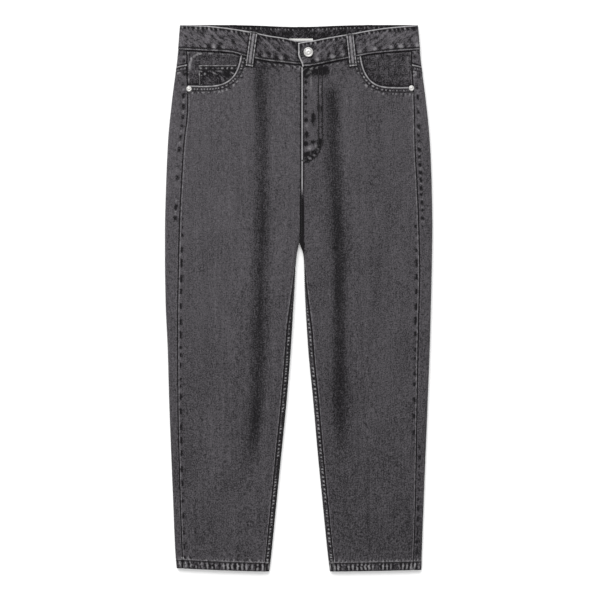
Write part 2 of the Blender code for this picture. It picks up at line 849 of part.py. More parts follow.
def make_back(side):
    """Back leg, from the outer seam round both folds to the inner seam."""
    def seam(down):
        return girth_above(side, SIDE_SEAM[side](down) + HALF_GAP, down)

    def outer(girth, down):
        return HEM_PROUD * hem_share(down) * is_above(girth)

    top = yoke_line(side, seam(YOKE_SIDE)) + HALF_GAP
    outline = [(seam(top), top)]
    outline += [(c, yoke_line(side, c) + HALF_GAP) for c in back_columns(seam(top), GIRTH_END)]
    outline.append((GIRTH_END, yoke_line(side, GIRTH_END) + HALF_GAP))
    for down in seam_downs(YOKE_CENTRE, LENGTH):
        rise = INSEAM_RISE(down) - HALF_GAP if down > CROTCH else 0.0
        outline.append((GIRTH_END + rise, down))
    hem_end = GIRTH_END + INSEAM_RISE(LENGTH) - HALF_GAP
    hem_start = seam(hem_line(side, 1.0))
    outline.append((hem_end, LENGTH))
    for column in reversed(back_columns(hem_start, hem_end)):
        share = 0.0 if column > GIRTH_BOTTOM_END else (GIRTH_BOTTOM_END - column) / GIRTH_BOTTOM
        outline.append((column, hem_line(side, min(share, 1.0))))
    outline.append((hem_start, hem_line(side, 1.0)))
    outline += [(seam(down), down) for down in reversed(seam_downs(top, hem_line(side, 1.0)))]
    creases = []
    for margin in (LIFT_MARGIN, LIFT_SPREAD):
        loop = grown(BACK_POCKET_LOOP, margin)
        loop.append(loop[0])
        creases.append([(girth_below(side, out, down), down) for out, down in loop])
    return cloth(f"back_{side}", DENIM, side, outline, outer, panel_inner, creases)


def make_yoke(side):
    """Back yoke, whose side end shows beside the front pocket."""
    def seam(down):
        return girth_above(side, SIDE_SEAM[side](down) + HALF_GAP, down)

    corner = WAIST_SEAM[side](SIDE_SEAM[side](BAND_HEIGHT)) + SEAM_GAP
    outline = [(seam(corner), corner)]
    for girth in back_columns(seam(corner), GIRTH_END) + [GIRTH_END]:
        outline.append((girth, settled(side, girth, band_seam) + SEAM_GAP))
    outline += [(GIRTH_END, down) for down in seam_downs(outline[-1][1], YOKE_CENTRE)]
    ends = [GIRTH_END] + back_columns(seam(YOKE_SIDE), GIRTH_END)[::-1]
    outline += [(girth, yoke_line(side, girth) - HALF_GAP) for girth in ends]
    outline.append((seam(YOKE_SIDE), YOKE_SIDE - HALF_GAP))
    return cloth(f"yoke_{side}", DENIM, side, outline, lambda g, d: 0.0, lambda g, d: -CLOTH)


def band_offset(end, across, above):
    """Outer face of the band: proud above, sunk under the flap, raised on the flap."""
    proud = BAND_PROUD * above
    if end == UNDER:
        return mix(-UNDERLAP_DROP, proud, ease((FLAP_END - UNDERLAP_CLEAR - across) / FLAP_SETTLE))
    if end == OVER:
        return mix(FLAP_PROUD, proud, ease((across - CENTRE - UNDERLAP - FLAP_CLEAR) / FLAP_SETTLE))
    return proud


def band_section(points_at, top, seam, offset):
    """Six points round one section of the band; points_at(down, offset) places one."""
    downs = [mix(top, seam, share) for share in BAND_SHARES]
    section = [points_at(down, offset) for down in downs]
    return section + [points_at(down, offset - BAND_THICK) for down in reversed(downs)]


def end_section(lines, places, end):
    """Section of the band near one of its ends, at a place across for each of its points."""
    top = WAIST_TOP[lines](SIGN[lines] * places[0])
    seam = WAIST_SEAM[lines](SIGN[lines] * places[-1])
    offsets = [band_offset(end, across, 1.0) for across in places]
    downs = [mix(top, seam, share) for share in BAND_SHARES]
    spots = list(zip(places, downs, offsets))
    section = [on_top(across, down, offset) for across, down, offset in spots]
    return section + [on_top(x, down, offset - BAND_THICK) for x, down, offset in reversed(spots)]


def make_band():
    """One folded band from the underlap round the back to the buttonhole end."""
    sections = []
    for across in UNDERLAP_COLUMNS:
        sections.append(end_section(RIGHT, [across] * len(BAND_SHARES), UNDER))
    for side in (RIGHT, LEFT):
        round_leg = [c for c in COLUMNS if 0.0 <= c < GIRTH_BOTTOM_END + 1.0]
        for girth in round_leg if side == RIGHT else reversed(round_leg):
            out, _ = on_section(side, girth, BAND_HEIGHT / 2)
            end = (UNDER if side == RIGHT else OVER) if girth < GIRTH_TOP else RING
            offset = band_offset(end, SIGN[side] * out, is_above(girth))

            def points_at(down, moved, side=side, girth=girth):
                return placed(side, girth, down, moved)

            top, seam = settled(side, girth, band_edge), settled(side, girth, band_seam)
            sections.append(band_section(points_at, top, seam, offset))
    sections.append(end_section(LEFT, FLAP_END_PLACES, OVER))
    return strip("waistband", DENIM, sections)


def make_facing(side):
    """Denim facing behind the pocket opening, tucked under the front leg."""
    edge = pocket_path(side)
    tucked = []
    for before, spot, after in zip(edge, edge[1:], edge[2:]):
        run = Vector((after[0] - before[0], after[1] - before[1])).normalized()
        tucked.append((spot[0] - run.y * FACING_TUCK, spot[1] + run.x * FACING_TUCK))
    tucked = [spot for spot in tucked if spot[1] > WAIST_SEAM[side](spot[0]) + FACING_CLEARANCE]
    tucked = [spot for spot in tucked if spot[0] < SIDE_SEAM[side](spot[1]) - FACING_CLEARANCE]
    waist_end = SIDE_SEAM[side](BAND_HEIGHT) - HALF_GAP
    waist = waist_run(side, edge[0][0] - FACING_TUCK, waist_end)
    corner = (SIDE_SEAM[side](edge[-1][1]) - FACING_INSET, edge[-1][1] + FACING_TUCK)
    rows = [row for row in ROWS if waist[-1][1] + ROW_CLEARANCE < row < corner[1] - ROW_CLEARANCE]
    run = waist + [(SIDE_SEAM[side](row) - HALF_GAP, row) for row in rows] + [corner]
    run += reversed(tucked)
    outline = [(girth_above(side, out, down), down) for out, down in run]
    return cloth(f"pocket_facing_{side}", DARK_DENIM, side, outline,
                 lambda g, d: -FACING_DROP, lambda g, d: -FACING_DROP - FACING_THICK)


def make_coin_pocket():
    """Small pocket on the right facing, which ends where the front leg covers it."""
    edge = pocket_path(RIGHT)
    run = []
    for out, down in smooth_path(edge, COIN_PITCH):
        if COIN_INNER < out < COIN_OUTER and down > COIN_TOP:
            run.append((out + COIN_CLEARANCE * ease((COIN_OUTER - out) / COIN_FADE), down - COIN_CLEARANCE))
    inner_down = run[0][1]
    outer_down = run[-1][1]
    outline = [(run[0][0], COIN_TOP), (COIN_OUTER, COIN_TOP), (COIN_OUTER, outer_down)]
    outline += [spot for spot in reversed(run) if inner_down < spot[1]][1:]
    outline.append((run[0][0], inner_down))
    flat = [(girth_above(RIGHT, out, down), down) for out, down in outline]
    low = -FACING_DROP + SEAM_GAP
    return cloth("coin_pocket", DENIM, RIGHT, flat, lambda g, d: low + COIN_THICK, lambda g, d: low)


def make_back_pocket(side):
    """Patch pocket on the underside, whose outer face lies on the surface."""
    outline = []
    next_spots = BACK_POCKET[1:] + BACK_POCKET[:1]
    for spot, after in zip(BACK_POCKET, next_spots):
        for step in range(POCKET_STEPS):
            out = mix(spot.out, after.out, step / POCKET_STEPS)
            down = mix(spot.down, after.down, step / POCKET_STEPS)
            outline.append((girth_below(side, out, down), down))
    outline.reverse()
    name = f"back_pocket_{side}"
    return cloth(name, DENIM, side, outline, lambda g, d: POCKET_LIFT, lambda g, d: SEAM_GAP)


def make_front_loop(side):
    """Belt loop on the front of the waistband, tacked at both ends and bowed between."""
    top, bottom = FRONT_LOOPS[side]
    run = Vector((bottom.out - top.out, bottom.down - top.down)).normalized()
    seam = WAIST_SEAM[side](bottom.out)
    sections = []
    for step in range(LOOP_STEPS + 1):
        share = step / LOOP_STEPS
        out, down = mix(top.out, bottom.out, share), mix(top.down, bottom.down, share)
        on_band = 1.0 - ease((down - seam) / LOOP_DROP)
        low = SEAM_GAP + BAND_PROUD * on_band + LOOP_LIFT + LOOP_BOW * math.sin(math.pi * share)
        corners = []
        for way, moved in ((-0.5, LOOP_THICK), (0.5, LOOP_THICK), (0.5, 0.0), (-0.5, 0.0)):
            across = SIGN[side] * (out + run.y * way * LOOP_WIDTH)
            corners.append(on_top(across, down - run.x * way * LOOP_WIDTH, low + moved))
        sections.append(corners)
    return strip(f"belt_loop_front_{side}", DENIM, sections)


def make_back_loop(name, across):
    """Belt loop on the back of the waistband, which lies under it on the surface."""
    sections = []
    for step in range(LOOP_STEPS + 1):
        down = mix(back_waist(abs(across)) - 0.5, BACK_LOOP_END, step / LOOP_STEPS)
        corners = []
        for way, offset in ((-0.5, POCKET_LIFT), (0.5, POCKET_LIFT), (0.5, SEAM_GAP), (-0.5, SEAM_GAP)):
            corners.append(underneath(across + way * LOOP_WIDTH, down, offset))
        sections.append(corners)
    return strip(name, DENIM, sections)


def make_label():
    """Blank woven label on the inside of the back waistband."""
    low = -(BAND_THICK + SEAM_GAP)
    sections = []
    for down in (LABEL_TOP, LABEL_TOP + LABEL_LENGTH / 2, LABEL_TOP + LABEL_LENGTH):
        corners = []
        for way, offset in ((-0.5, low), (0.5, low), (0.5, low - LABEL_THICK), (-0.5, low - LABEL_THICK)):
            corners.append(underneath(LABEL_ACROSS + way * LABEL_WIDTH, down, offset))
        sections.append(corners)
    return strip("label", LABEL_CLOTH, sections)


def make_button():
    """Tack button on the flap of the waistband."""
    low = on_top(BUTTON_ACROSS, BUTTON_DOWN, FLAP_PROUD + SEAM_GAP)
    high = on_top(BUTTON_ACROSS, BUTTON_DOWN, FLAP_PROUD + SEAM_GAP + 1.0)
    return turned("button", PALE_METAL, BUTTON_PROFILE, BUTTON_SIDES, low, high - low)


def make_rivet(side):
    """Domed rivet at the lower corner of a front pocket opening."""
    spot = RIVETS[side]
    low = on_top(SIGN[side] * spot.out, spot.down, EDGE_PROUD + SEAM_GAP)
    high = on_top(SIGN[side] * spot.out, spot.down, EDGE_PROUD + SEAM_GAP + 1.0)
    return turned(f"rivet_{side}", PALE_METAL, RIVET_PROFILE, RIVET_SIDES, low, high - low)


def main():
    """Build every piece of the garment."""
    for old in list(bpy.data.objects):
        bpy.data.objects.remove(old, do_unlink=True)
    for side in SIGN:
        make_front(side)
        make_back(side)
        make_yoke(side)
        make_facing(side)
        make_back_pocket(side)
        make_front_loop(side)
        make_rivet(side)
    make_coin_pocket()
    make_band()
    for name, across in BACK_LOOPS.items():
        make_back_loop(name, across)
    make_label()
    make_button()


main()
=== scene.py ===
"""Looks for washed black five-pocket jeans laid flat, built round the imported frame.

Lengths are in millimetres until a mesh is made. X runs across the garment with the wearer's
right leg at -X, +Y towards the waist and +Z up. "down" is the distance below the back waist
edge. "girth" runs round one leg's section: along the upper side from the inner edge to the
outer fold, round that fold, back along the underside and up the inner fold.
"""

from __future__ import annotations

import logging
import math
from dataclasses import dataclass, field
from enum import Enum
from typing import Callable, Sequence

import bpy
import numpy as np
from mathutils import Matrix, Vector
from mathutils.geometry import delaunay_2d_cdt

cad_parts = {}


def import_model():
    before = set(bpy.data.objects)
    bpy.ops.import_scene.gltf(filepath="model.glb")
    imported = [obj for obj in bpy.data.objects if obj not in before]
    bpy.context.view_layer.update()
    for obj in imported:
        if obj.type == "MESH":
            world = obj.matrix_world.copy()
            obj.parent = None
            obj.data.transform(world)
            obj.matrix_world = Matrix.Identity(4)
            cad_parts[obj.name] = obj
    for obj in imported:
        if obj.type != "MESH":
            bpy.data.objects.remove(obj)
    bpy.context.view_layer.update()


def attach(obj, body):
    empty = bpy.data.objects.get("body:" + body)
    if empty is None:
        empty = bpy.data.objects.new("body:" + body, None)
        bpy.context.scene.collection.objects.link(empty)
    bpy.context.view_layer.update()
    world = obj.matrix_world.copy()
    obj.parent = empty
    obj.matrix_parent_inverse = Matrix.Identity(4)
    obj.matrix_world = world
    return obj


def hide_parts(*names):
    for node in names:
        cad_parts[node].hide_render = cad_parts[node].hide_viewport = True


Array = np.ndarray
Path = tuple[tuple[float, float], ...]
Tones = tuple[Array, Array, Array]
Place = Callable[[Array, float], Array]

LOG = logging.getLogger("jeans")
MM = 0.001

LENGTH = 983.0
HALF_LENGTH = LENGTH / 2
CENTRE = 5.0
HALF_GAP = 0.15
SEAM_GAP = 0.3
CLOTH, THIN_CLOTH = 1.2, 1.0
BAND_THICK = 2.6
BAND_PROUD = 0.9
BAND_HEIGHT = 45.0

FOLD_RADIUS = 8.0
GIRTH_INNER = 12.0
GIRTH_TOP = 200.0
GIRTH_FOLD = 26.0
GIRTH_BOTTOM = 200.0
GIRTH_FOLD_END = GIRTH_TOP + GIRTH_FOLD
GIRTH_BOTTOM_END = GIRTH_FOLD_END + GIRTH_BOTTOM
GIRTH_END = GIRTH_BOTTOM_END + GIRTH_INNER
FOLD_WINDOW = 22.0
CROTCH = 372.0
FORK_START = 316.0
SEAT_FORK_START = 344.0
# Span of the painted shade in the crotch valley
VALLEY_START, VALLEY_END, VALLEY_MIDDLE, VALLEY_HALF_WIDTH = 298.0, 428.0, 5.6, 2.8
NORMAL_REACH = 0.8

HEM_DEPTH = 15.0
HEM_THICK = 2.1
FLY_WIDTH = 32.0
FLY_ROW, FLY_ROW_INSET = 37.4, 6.8
FLY_BOTTOM = 249.0
FLY_STRAIGHT_END = 205.0
CENTRE_SEAM_WIDTH = 8.0
CENTRE_SEAM_END = 310.0
POCKET_STRIP = 9.2
FAR_ROW = 8.0
FACING_DROP = 1.9
FACING_TUCK = 20.0
COIN_INNER, COIN_OUTER, COIN_TOP = 110.0, 179.6, 72.8
POCKET_LIFT = 1.5
LIFT_MARGIN = 2.5
LIFT_SPREAD = 14.0
YOKE_SIDE, YOKE_CENTRE = 70.5, 124.0
BAND_LIFT_REACH, BAND_LIFT_END, BAND_LIFT_FADE = 170.0, 60.0, 30.0
FLAP_PROUD, UNDERLAP_DROP, UNDERLAP, FLAP_SETTLE = 2.2, 0.7, 34.0, 40.0
LABEL_WIDTH, LABEL_HEIGHT, LABEL_THICK = 43.0, 30.0, 0.8
LABEL_MIDDLE, LABEL_TOP = 4.0, 25.0
BACK_LOOPS = {
    "belt_loop_back_right": -118.0,
    "belt_loop_centre_back": 4.0,
    "belt_loop_back_left": 126.0,
}
BACK_POCKET = ((40.0, 139.0), (188.0, 127.0), (181.0, 262.0), (113.0, 294.0), (47.0, 272.0))


class Side(Enum):
    """One of the wearer's sides, with the sign of its X."""

    RIGHT = -1.0
    LEFT = 1.0

    @property
    def label(self) -> str:
        """The side's name in node names."""
        return self.name.lower()


class Curve:
    """Smooth curve through rows that never swings past them."""

    def __init__(self, keys: Sequence[float], values: Sequence[float]) -> None:
        """Keep the rows and work out a slope at each.

        Args:
            keys: rising places.
            values: the value at each place.
        """
        self.keys = np.array(keys, float)
        self.values = np.array(values, float)
        steps = np.diff(self.values) / np.diff(self.keys)
        before, after = steps[:-1], steps[1:]
        turning = before * after <= 0
        total = np.where(turning, 1.0, before + after)
        inner = np.where(turning, 0.0, 2 * before * after / total)
        self.slopes = np.concatenate(([steps[0]], inner, [steps[-1]]))

    def __call__(self, at: Array | float) -> Array:
        """Return the curve's value at each place, going straight on past its ends."""
        at = np.asarray(at, float)
        n = np.clip(np.searchsorted(self.keys, at) - 1, 0, len(self.keys) - 2)
        span = self.keys[n + 1] - self.keys[n]
        t = (at - self.keys[n]) / span
        inside = np.clip(t, 0.0, 1.0)
        value = (
            self.values[n] * (1 + 2 * inside) * (1 - inside) ** 2
            + self.slopes[n] * span * inside * (1 - inside) ** 2
            + self.values[n + 1] * inside**2 * (3 - 2 * inside)
            + self.slopes[n + 1] * span * inside**2 * (inside - 1)
        )
        slope = np.where(t < 0, self.slopes[n], self.slopes[n + 1])
        return value + slope * span * (t - inside)


def per_side(rows: Sequence[tuple[float, float, float]]) -> dict[Side, Curve]:
    """Return a curve for each side from rows of down, right and left."""
    downs = [row[0] for row in rows]
    return {
        Side.RIGHT: Curve(downs, [row[1] for row in rows]),
        Side.LEFT: Curve(downs, [row[2] for row in rows]),
    }


def ease(value: Array | float) -> Array:
    """Smooth step from 0 to 1."""
    value = np.clip(value, 0.0, 1.0)
    return value * value * (3.0 - 2.0 * value)


def fall(value: Array | float, width: float) -> Array:
    """Smooth step from 1 to 0 over a width."""
    return 1.0 - ease(value / width)


def bell(gap: Array | float, width: float) -> Array:
    """Bell curve of a distance, 1 at its middle."""
    return np.exp(-((gap / width) ** 2))


def mix(start: float, end: float, share: Array | float) -> Array:
    """Straight blend of two values."""
    return start + (end - start) * share


def ripple(at: Array, pitch: float, seed: int) -> Array:
    """Uneven wave along a line.

    Args:
        at: places along the line.
        pitch: usual distance between crests.
        seed: chooses the wave.

    Returns:
        Values from about -1 to 1.
    """
    draw = np.random.default_rng(seed)
    total = np.zeros_like(np.asarray(at, float))
    for _ in range(5):
        turn = 2 * math.pi / (pitch * draw.uniform(0.72, 1.5))
        total += np.sin(at * turn + draw.uniform(0, 2 * math.pi))
    return np.clip(total / 2.2, -1.0, 1.0)


def crumple(x: Array, y: Array, pitch: float, seed: int) -> Array:
    """Soft uneven bumps over a surface, from about -1 to 1.

    Args:
        x: places across.
        y: places down.
        pitch: usual size of a bump.
        seed: chooses the pattern.

    Returns:
        Height of the bumps.
    """
    draw = np.random.default_rng(seed)
    total = np.zeros(np.broadcast(x, y).shape)
    for _ in range(9):
        way = draw.uniform(0, math.pi)
        turn = 2 * math.pi / (pitch * draw.uniform(0.6, 1.7))
        total += np.sin((x * math.cos(way) + y * math.sin(way)) * turn + draw.uniform(0, 6.28))
    return total / 4.0


# Outer edges, inner edges and outer seams: down, then out from the middle for right and left
OUTER = per_side((
    (0, 213.5, 214.5), (63, 219.0, 220.0), (135, 228.2, 229.0), (207, 235.3, 236.2),
    (297, 239.3, 240.0), (369, 241.0, 241.0), (423, 241.0, 240.2), (495, 240.0, 238.6),
    (585, 236.0, 236.2), (675, 233.5, 232.7), (855, 226.4, 225.5), (945, 222.6, 222.2),
    (983, 219.6, 221.0),
))
INNER = per_side((
    (0, -4.96, 5.04), (372, -4.96, 5.04), (386, -1.9, 1.98), (389, -1.0, 1.1), (398, 0.9, 3.4),
    (405, 2.2, 5.8), (416, 3.8, 8.5), (423, 4.6, 9.0),
    (495, 8.6, 11.3), (585, 14.0, 16.7), (675, 21.2, 25.4), (765, 30.2, 33.2),
    (855, 39.2, 42.0), (945, 48.2, 51.0), (983, 52.5, 55.4),
))
OUTSEAM = per_side((
    (45, 201.2, 202.0), (94, 200.6, 204.4), (126, 199.2, 206.6), (153, 199.6, 207.6),
    (212, 206.0, 208.8), (292, 211.0, 212.6), (349, 213.9, 215.2), (441, 216.2, 217.2),
    (533, 217.5, 215.2), (675, 217.0, 212.6), (855, 212.7, 209.6), (983, 208.0, 205.6),
))
# Waistband's front by distance out: its upper edge and its lower seam
BAND_PLACES = {
    Side.RIGHT: (-45, 2, 23, 54, 85, 127, 172, 219),
    Side.LEFT: (-2, 5, 24, 56, 100, 127, 163, 219),
}
BAND_TOP = {
    Side.RIGHT: Curve(BAND_PLACES[Side.RIGHT], (28.5, 29.2, 24.8, 20, 13.5, 6.7, 2.2, 0.8)),
    Side.LEFT: Curve(BAND_PLACES[Side.LEFT], (34, 32.2, 29.2, 23.2, 15.6, 10.6, 5.5, 0.8)),
}
BAND_SEAM = {
    Side.RIGHT: Curve(BAND_PLACES[Side.RIGHT], (69.6, 71.6, 69.5, 66.4, 60.5, 50.2, 47.9, 45.8)),
    Side.LEFT: Curve(BAND_PLACES[Side.LEFT], (77, 76.4, 74.4, 68, 59.2, 54, 49.9, 45.8)),
}
POCKET_EDGE = {
    Side.RIGHT: ((104, 54), (107, 68), (112, 83), (121, 96), (134, 105), (150, 109.2), (171, 110.4),
                 (193, 109.8), (206, 109.4)),
    Side.LEFT: ((111, 54), (115, 74), (121, 89), (131, 102), (146, 110), (167, 112.6), (198, 112.6),
                (212, 112.4)),
}
# Rim of the pocket bag that shows through the facing
BAG_RIM = {
    Side.RIGHT: ((176.0, 53.0), (186.0, 55.0), (192.5, 61.0), (195.5, 70.0), (195.5, 80.0)),
    Side.LEFT: ((196.0, 60.0), (197.5, 80.0), (192.0, 98.0)),
}
HEIGHT = Curve((0, 60, 200, 420, 620, 800, 983), (13.4, 13.2, 12.8, 13.0, 12.4, 11.2, 10.2))
INSEAM_RISE = Curve((CROTCH, 423, 495, 560, 983), (0.0, 3.0, 9.5, 13.6, 14.2))
HEM_RISE = {Side.RIGHT: 5.6, Side.LEFT: 2.6}


@dataclass(frozen=True)
class LongFold:
    """A soft fold that runs down the upper side."""

    side: Side
    rise: float
    spread: float
    start: tuple[float, float]
    end: tuple[float, float]
    path: Path

    def height(self, out: Array, down: Array) -> Array:
        """Return the fold's height at places out and down."""
        line = Curve([spot[1] for spot in self.path], [spot[0] for spot in self.path])
        strength = ease((down - self.start[0]) / self.start[1])
        strength = strength * fall(down - self.end[0], self.end[1])
        return self.rise * strength * bell(out - line(down), self.spread)


R, L = Side.RIGHT, Side.LEFT
LONG_FOLDS = tuple(LongFold(*row) for row in (
    (R, 3.6, 13.0, (60, 60), (700, 110), ((95, 92), (102, 200), (120, 362), (140, 460), (140, 711))),
    (R, -3.6, 13.5, (60, 40), (720, 110),
     ((70, 92), (66, 218), (66, 344), (68, 488), (77, 711), (92, 790))),
    (R, 3.4, 12.0, (230, 70), (640, 120), ((18, 290), (17, 344), (27, 434), (34, 567), (47, 711))),
    (L, -3.8, 13.5, (90, 50), (700, 110), ((61, 128), (65, 236), (69, 344), (73, 452), (75, 765))),
    (L, 3.6, 13.0, (90, 60), (660, 120), ((90, 128), (99, 236), (112, 320), (121, 430), (135, 711))),
    (L, 2.2, 12.0, (240, 70), (560, 120), ((26, 290), (28, 344), (38, 452), (46, 600))),
    (L, 1.6, 30.0, (120, 80), (860, 90), ((170, 200), (180, 500), (150, 860))),
    (R, 1.4, 30.0, (120, 80), (860, 90), ((175, 200), (185, 500), (150, 860))),
))


def path_distance(points: Array, path: Array) -> tuple[Array, Array]:
    """Measure flat points against a chain of points.

    Args:
        points: the flat points, one a row.
        path: the chain, one point a row.

    Returns:
        Shortest distance to the chain, and the distance along it of the nearest place.
    """
    best = np.full(len(points), 1e9)
    along = np.zeros(len(points))
    travelled = 0.0
    for a, b in zip(path[:-1], path[1:]):
        run = b - a
        length = float(np.hypot(*run))
        if length < 1e-9:
            continue
        share = np.clip(((points - a) @ run) / length**2, 0.0, 1.0)
        gap = np.hypot(*(points - a - share[:, None] * run).T)
        nearer = gap < best
        best = np.where(nearer, gap, best)
        along = np.where(nearer, travelled + share * length, along)
        travelled += length
    return best, along


def inside_outline(points: Array, outline: Array) -> Array:
    """Return which flat points lie inside a closed outline."""
    odd = np.zeros(len(points), bool)
    x, y = points.T
    for (ax, ay), (bx, by) in zip(outline, np.roll(outline, -1, axis=0)):
        if ay == by:
            continue
        crosses = (ay > y) != (by > y)
        odd ^= crosses & (x < (bx - ax) * (y - ay) / (by - ay) + ax)
    return odd


def chain_lengths(path: Array) -> Array:
    """Return the distance along a chain of each of its points."""
    return np.concatenate(([0.0], np.cumsum(np.hypot.reduce(np.diff(path, axis=0), axis=1))))


def chain_points(path: Array, lengths: Array, places: Array | float) -> Array:
    """Return a chain's points at distances along it."""
    return np.stack([np.interp(places, lengths, column) for column in path.T], axis=-1)


def resampled(path: Array, pitch: float) -> Array:
    """Return a chain with its points an even pitch apart, its two ends kept."""
    lengths = chain_lengths(path)
    count = max(1, round(lengths[-1] / pitch))
    return chain_points(path, lengths, np.linspace(0.0, lengths[-1], count + 1))


def rounded(spots: Sequence[tuple[float, float]], pitch: float) -> Array:
    """Return a Catmull-Rom curve through flat points, its points an even pitch apart."""
    spots = np.array(spots, float)
    padded = np.vstack((spots[:1], spots, spots[-1:]))
    found = []
    t = np.linspace(0, 1, 12, endpoint=False)[:, None]
    for p0, p1, p2, p3 in zip(padded, padded[1:], padded[2:], padded[3:]):
        bend = (2 * p0 - 5 * p1 + 4 * p2 - p3) * t**2 + (3 * p1 - p0 - 3 * p2 + p3) * t**3
        found.append(0.5 * (2 * p1 + (p2 - p0) * t + bend))
    found.append(spots[-1:])
    return resampled(np.vstack(found), pitch)


def moved_aside(path: Array, distance: float) -> Array:
    """Return a chain moved to its left by a distance, seen with down pointing up."""
    run = np.gradient(path, axis=0)
    run /= np.maximum(np.hypot(*run.T), 1e-9)[:, None]
    return path + np.stack((-run[:, 1], run[:, 0]), axis=1) * distance


def back_waist(out: Array | float) -> Array:
    """Back waist edge, which dips a little in the middle."""
    return 3.6 * bell(out, 70.0) + 0.4


def hem_line(side: Side, share: Array | float) -> Array:
    """Hem edge from the inner leg, 0, to the outer fold, 1."""
    return LENGTH - HEM_RISE[side] * np.clip(share, 0.0, 1.0) ** 1.4


class Drape:
    """The garment's outer skin as it lies, which every cloth piece follows."""

    @staticmethod
    def underside_lift(out: Array, down: Array) -> Array:
        """Height of the underside where back pockets and back belt loops lie below it."""
        outline = np.array(BACK_POCKET)
        flat = np.stack([np.ravel(out), np.ravel(down)], axis=1)
        gap, _ = path_distance(flat, np.vstack((outline, outline[:1])))
        gap = np.where(inside_outline(flat, outline), 0.0, gap).reshape(np.shape(out))
        pocket = fall(gap - LIFT_MARGIN, LIFT_SPREAD - LIFT_MARGIN)
        band = fall(down - BAND_LIFT_END, BAND_LIFT_FADE)
        band = band * fall(out - BAND_LIFT_REACH, BAND_LIFT_FADE)
        return POCKET_LIFT * np.maximum(pocket, band)

    @staticmethod
    def flat_span(side: Side, down: Array) -> tuple[Array, Array]:
        """Distances out between which the leg lies flat, clear of both folds."""
        return INNER[side](down) + FOLD_RADIUS, OUTER[side](down) - FOLD_RADIUS

    @staticmethod
    def fold_height(side: Side, out: Array, down: Array) -> Array:
        """Height of the long folds, level near the edges."""
        outer = ease((OUTER[side](down) - FOLD_RADIUS - out) / FOLD_WINDOW)
        inner = ease((out - INNER[side](down) - FOLD_RADIUS) / FOLD_WINDOW)
        inner = mix(1.0, inner, ease((down - FORK_START) / (CROTCH - FORK_START)))
        total = sum(fold.height(out, down) for fold in LONG_FOLDS if fold.side is side)
        return total * outer * inner

    @classmethod
    def skin(cls, side: Side, girth: Array, down: Array) -> Array:
        """Return points of the outer skin, one a row."""
        girth = np.where(girth > GIRTH_END, girth - GIRTH_END - GIRTH_INNER, girth)
        near, far = cls.flat_span(side, down)
        half = HEIGHT(down) / 2
        turn_in = -girth / GIRTH_INNER * math.pi / 2
        turn_out = (girth - GIRTH_TOP) / GIRTH_FOLD * math.pi
        turn_up = (girth - GIRTH_BOTTOM_END) / GIRTH_INNER * math.pi / 2
        zones = [girth < 0, girth <= GIRTH_TOP, girth <= GIRTH_FOLD_END, girth <= GIRTH_BOTTOM_END]
        out = np.select(
            zones,
            [
                near - FOLD_RADIUS * np.sin(turn_in),
                mix(near, far, girth / GIRTH_TOP),
                far + FOLD_RADIUS * np.sin(turn_out),
                mix(far, near, (girth - GIRTH_FOLD_END) / GIRTH_BOTTOM),
            ],
            near - FOLD_RADIUS * np.sin(turn_up),
        )
        top = HEIGHT(down) + cls.fold_height(side, out, down)
        low = cls.underside_lift(out, down)
        fork = ease((down - FORK_START) / (CROTCH - FORK_START))
        seat_fork = ease((down - SEAT_FORK_START) / (CROTCH - SEAT_FORK_START))
        height = np.select(
            zones,
            [
                top - fork * half * (1.0 - np.cos(turn_in)),
                top,
                half + half * np.cos(turn_out) + low * (1.0 - np.cos(turn_out)) / 2,
                low,
            ],
            low + seat_fork * half * (1.0 - np.cos(turn_up)),
        )
        return np.stack((side.value * out, HALF_LENGTH - down, height), axis=-1)

    @classmethod
    def placed(cls, side: Side, girth: Array, down: Array, offset: Array | float) -> Array:
        """Return skin points moved out along the skin's normals by an offset."""
        girth, down = np.broadcast_arrays(np.asarray(girth, float), np.asarray(down, float))
        seat = down <= CROTCH
        before = np.where(seat, np.maximum(girth - NORMAL_REACH, -GIRTH_INNER), girth - NORMAL_REACH)
        after = np.where(seat, np.minimum(girth + NORMAL_REACH, GIRTH_END), girth + NORMAL_REACH)
        normal = np.cross(
            cls.skin(side, after, down) - cls.skin(side, before, down),
            cls.skin(side, girth, down + NORMAL_REACH) - cls.skin(side, girth, down - NORMAL_REACH),
        )
        normal /= np.maximum(np.linalg.norm(normal, axis=-1, keepdims=True), 1e-12)
        step = np.broadcast_to(offset, girth.shape)[..., None]
        return cls.skin(side, girth, down) - normal * side.value * step

    @staticmethod
    def out_at(side: Side, girth: Array, down: Array) -> Array:
        """Distance out of a girth on the upper side."""
        return mix(*Drape.flat_span(side, down), girth / GIRTH_TOP)

    @staticmethod
    def girth_above(side: Side, out: Array, down: Array) -> Array:
        """Girth of places on the upper side, from their distance out."""
        near, far = Drape.flat_span(side, down)
        flat = GIRTH_TOP * (out - near) / (far - near)
        bend_in = -GIRTH_INNER * np.arcsin(np.clip((near - out) / FOLD_RADIUS, 0, 1)) / (math.pi / 2)
        bend_out = GIRTH_TOP + GIRTH_FOLD * np.arcsin(np.clip((out - far) / FOLD_RADIUS, 0, 1)) / math.pi
        return np.where(out < near, bend_in, np.where(out > far, bend_out, flat))

    @staticmethod
    def girth_below(side: Side, out: Array, down: Array) -> Array:
        """Girth of places on the underside, from their distance out."""
        near, far = Drape.flat_span(side, down)
        return GIRTH_FOLD_END + GIRTH_BOTTOM * (far - out) / (far - near)

    @staticmethod
    def is_above(girth: Array) -> Array:
        """1 on the upper side and 0 underneath, eased round each fold."""
        girth = np.where(girth > GIRTH_END, girth - GIRTH_END - GIRTH_INNER, girth)
        upper = ease(1.0 + girth / GIRTH_INNER)
        round_fold = fall(girth - GIRTH_TOP, GIRTH_FOLD / 2)
        return np.where(girth <= GIRTH_TOP, upper, round_fold)

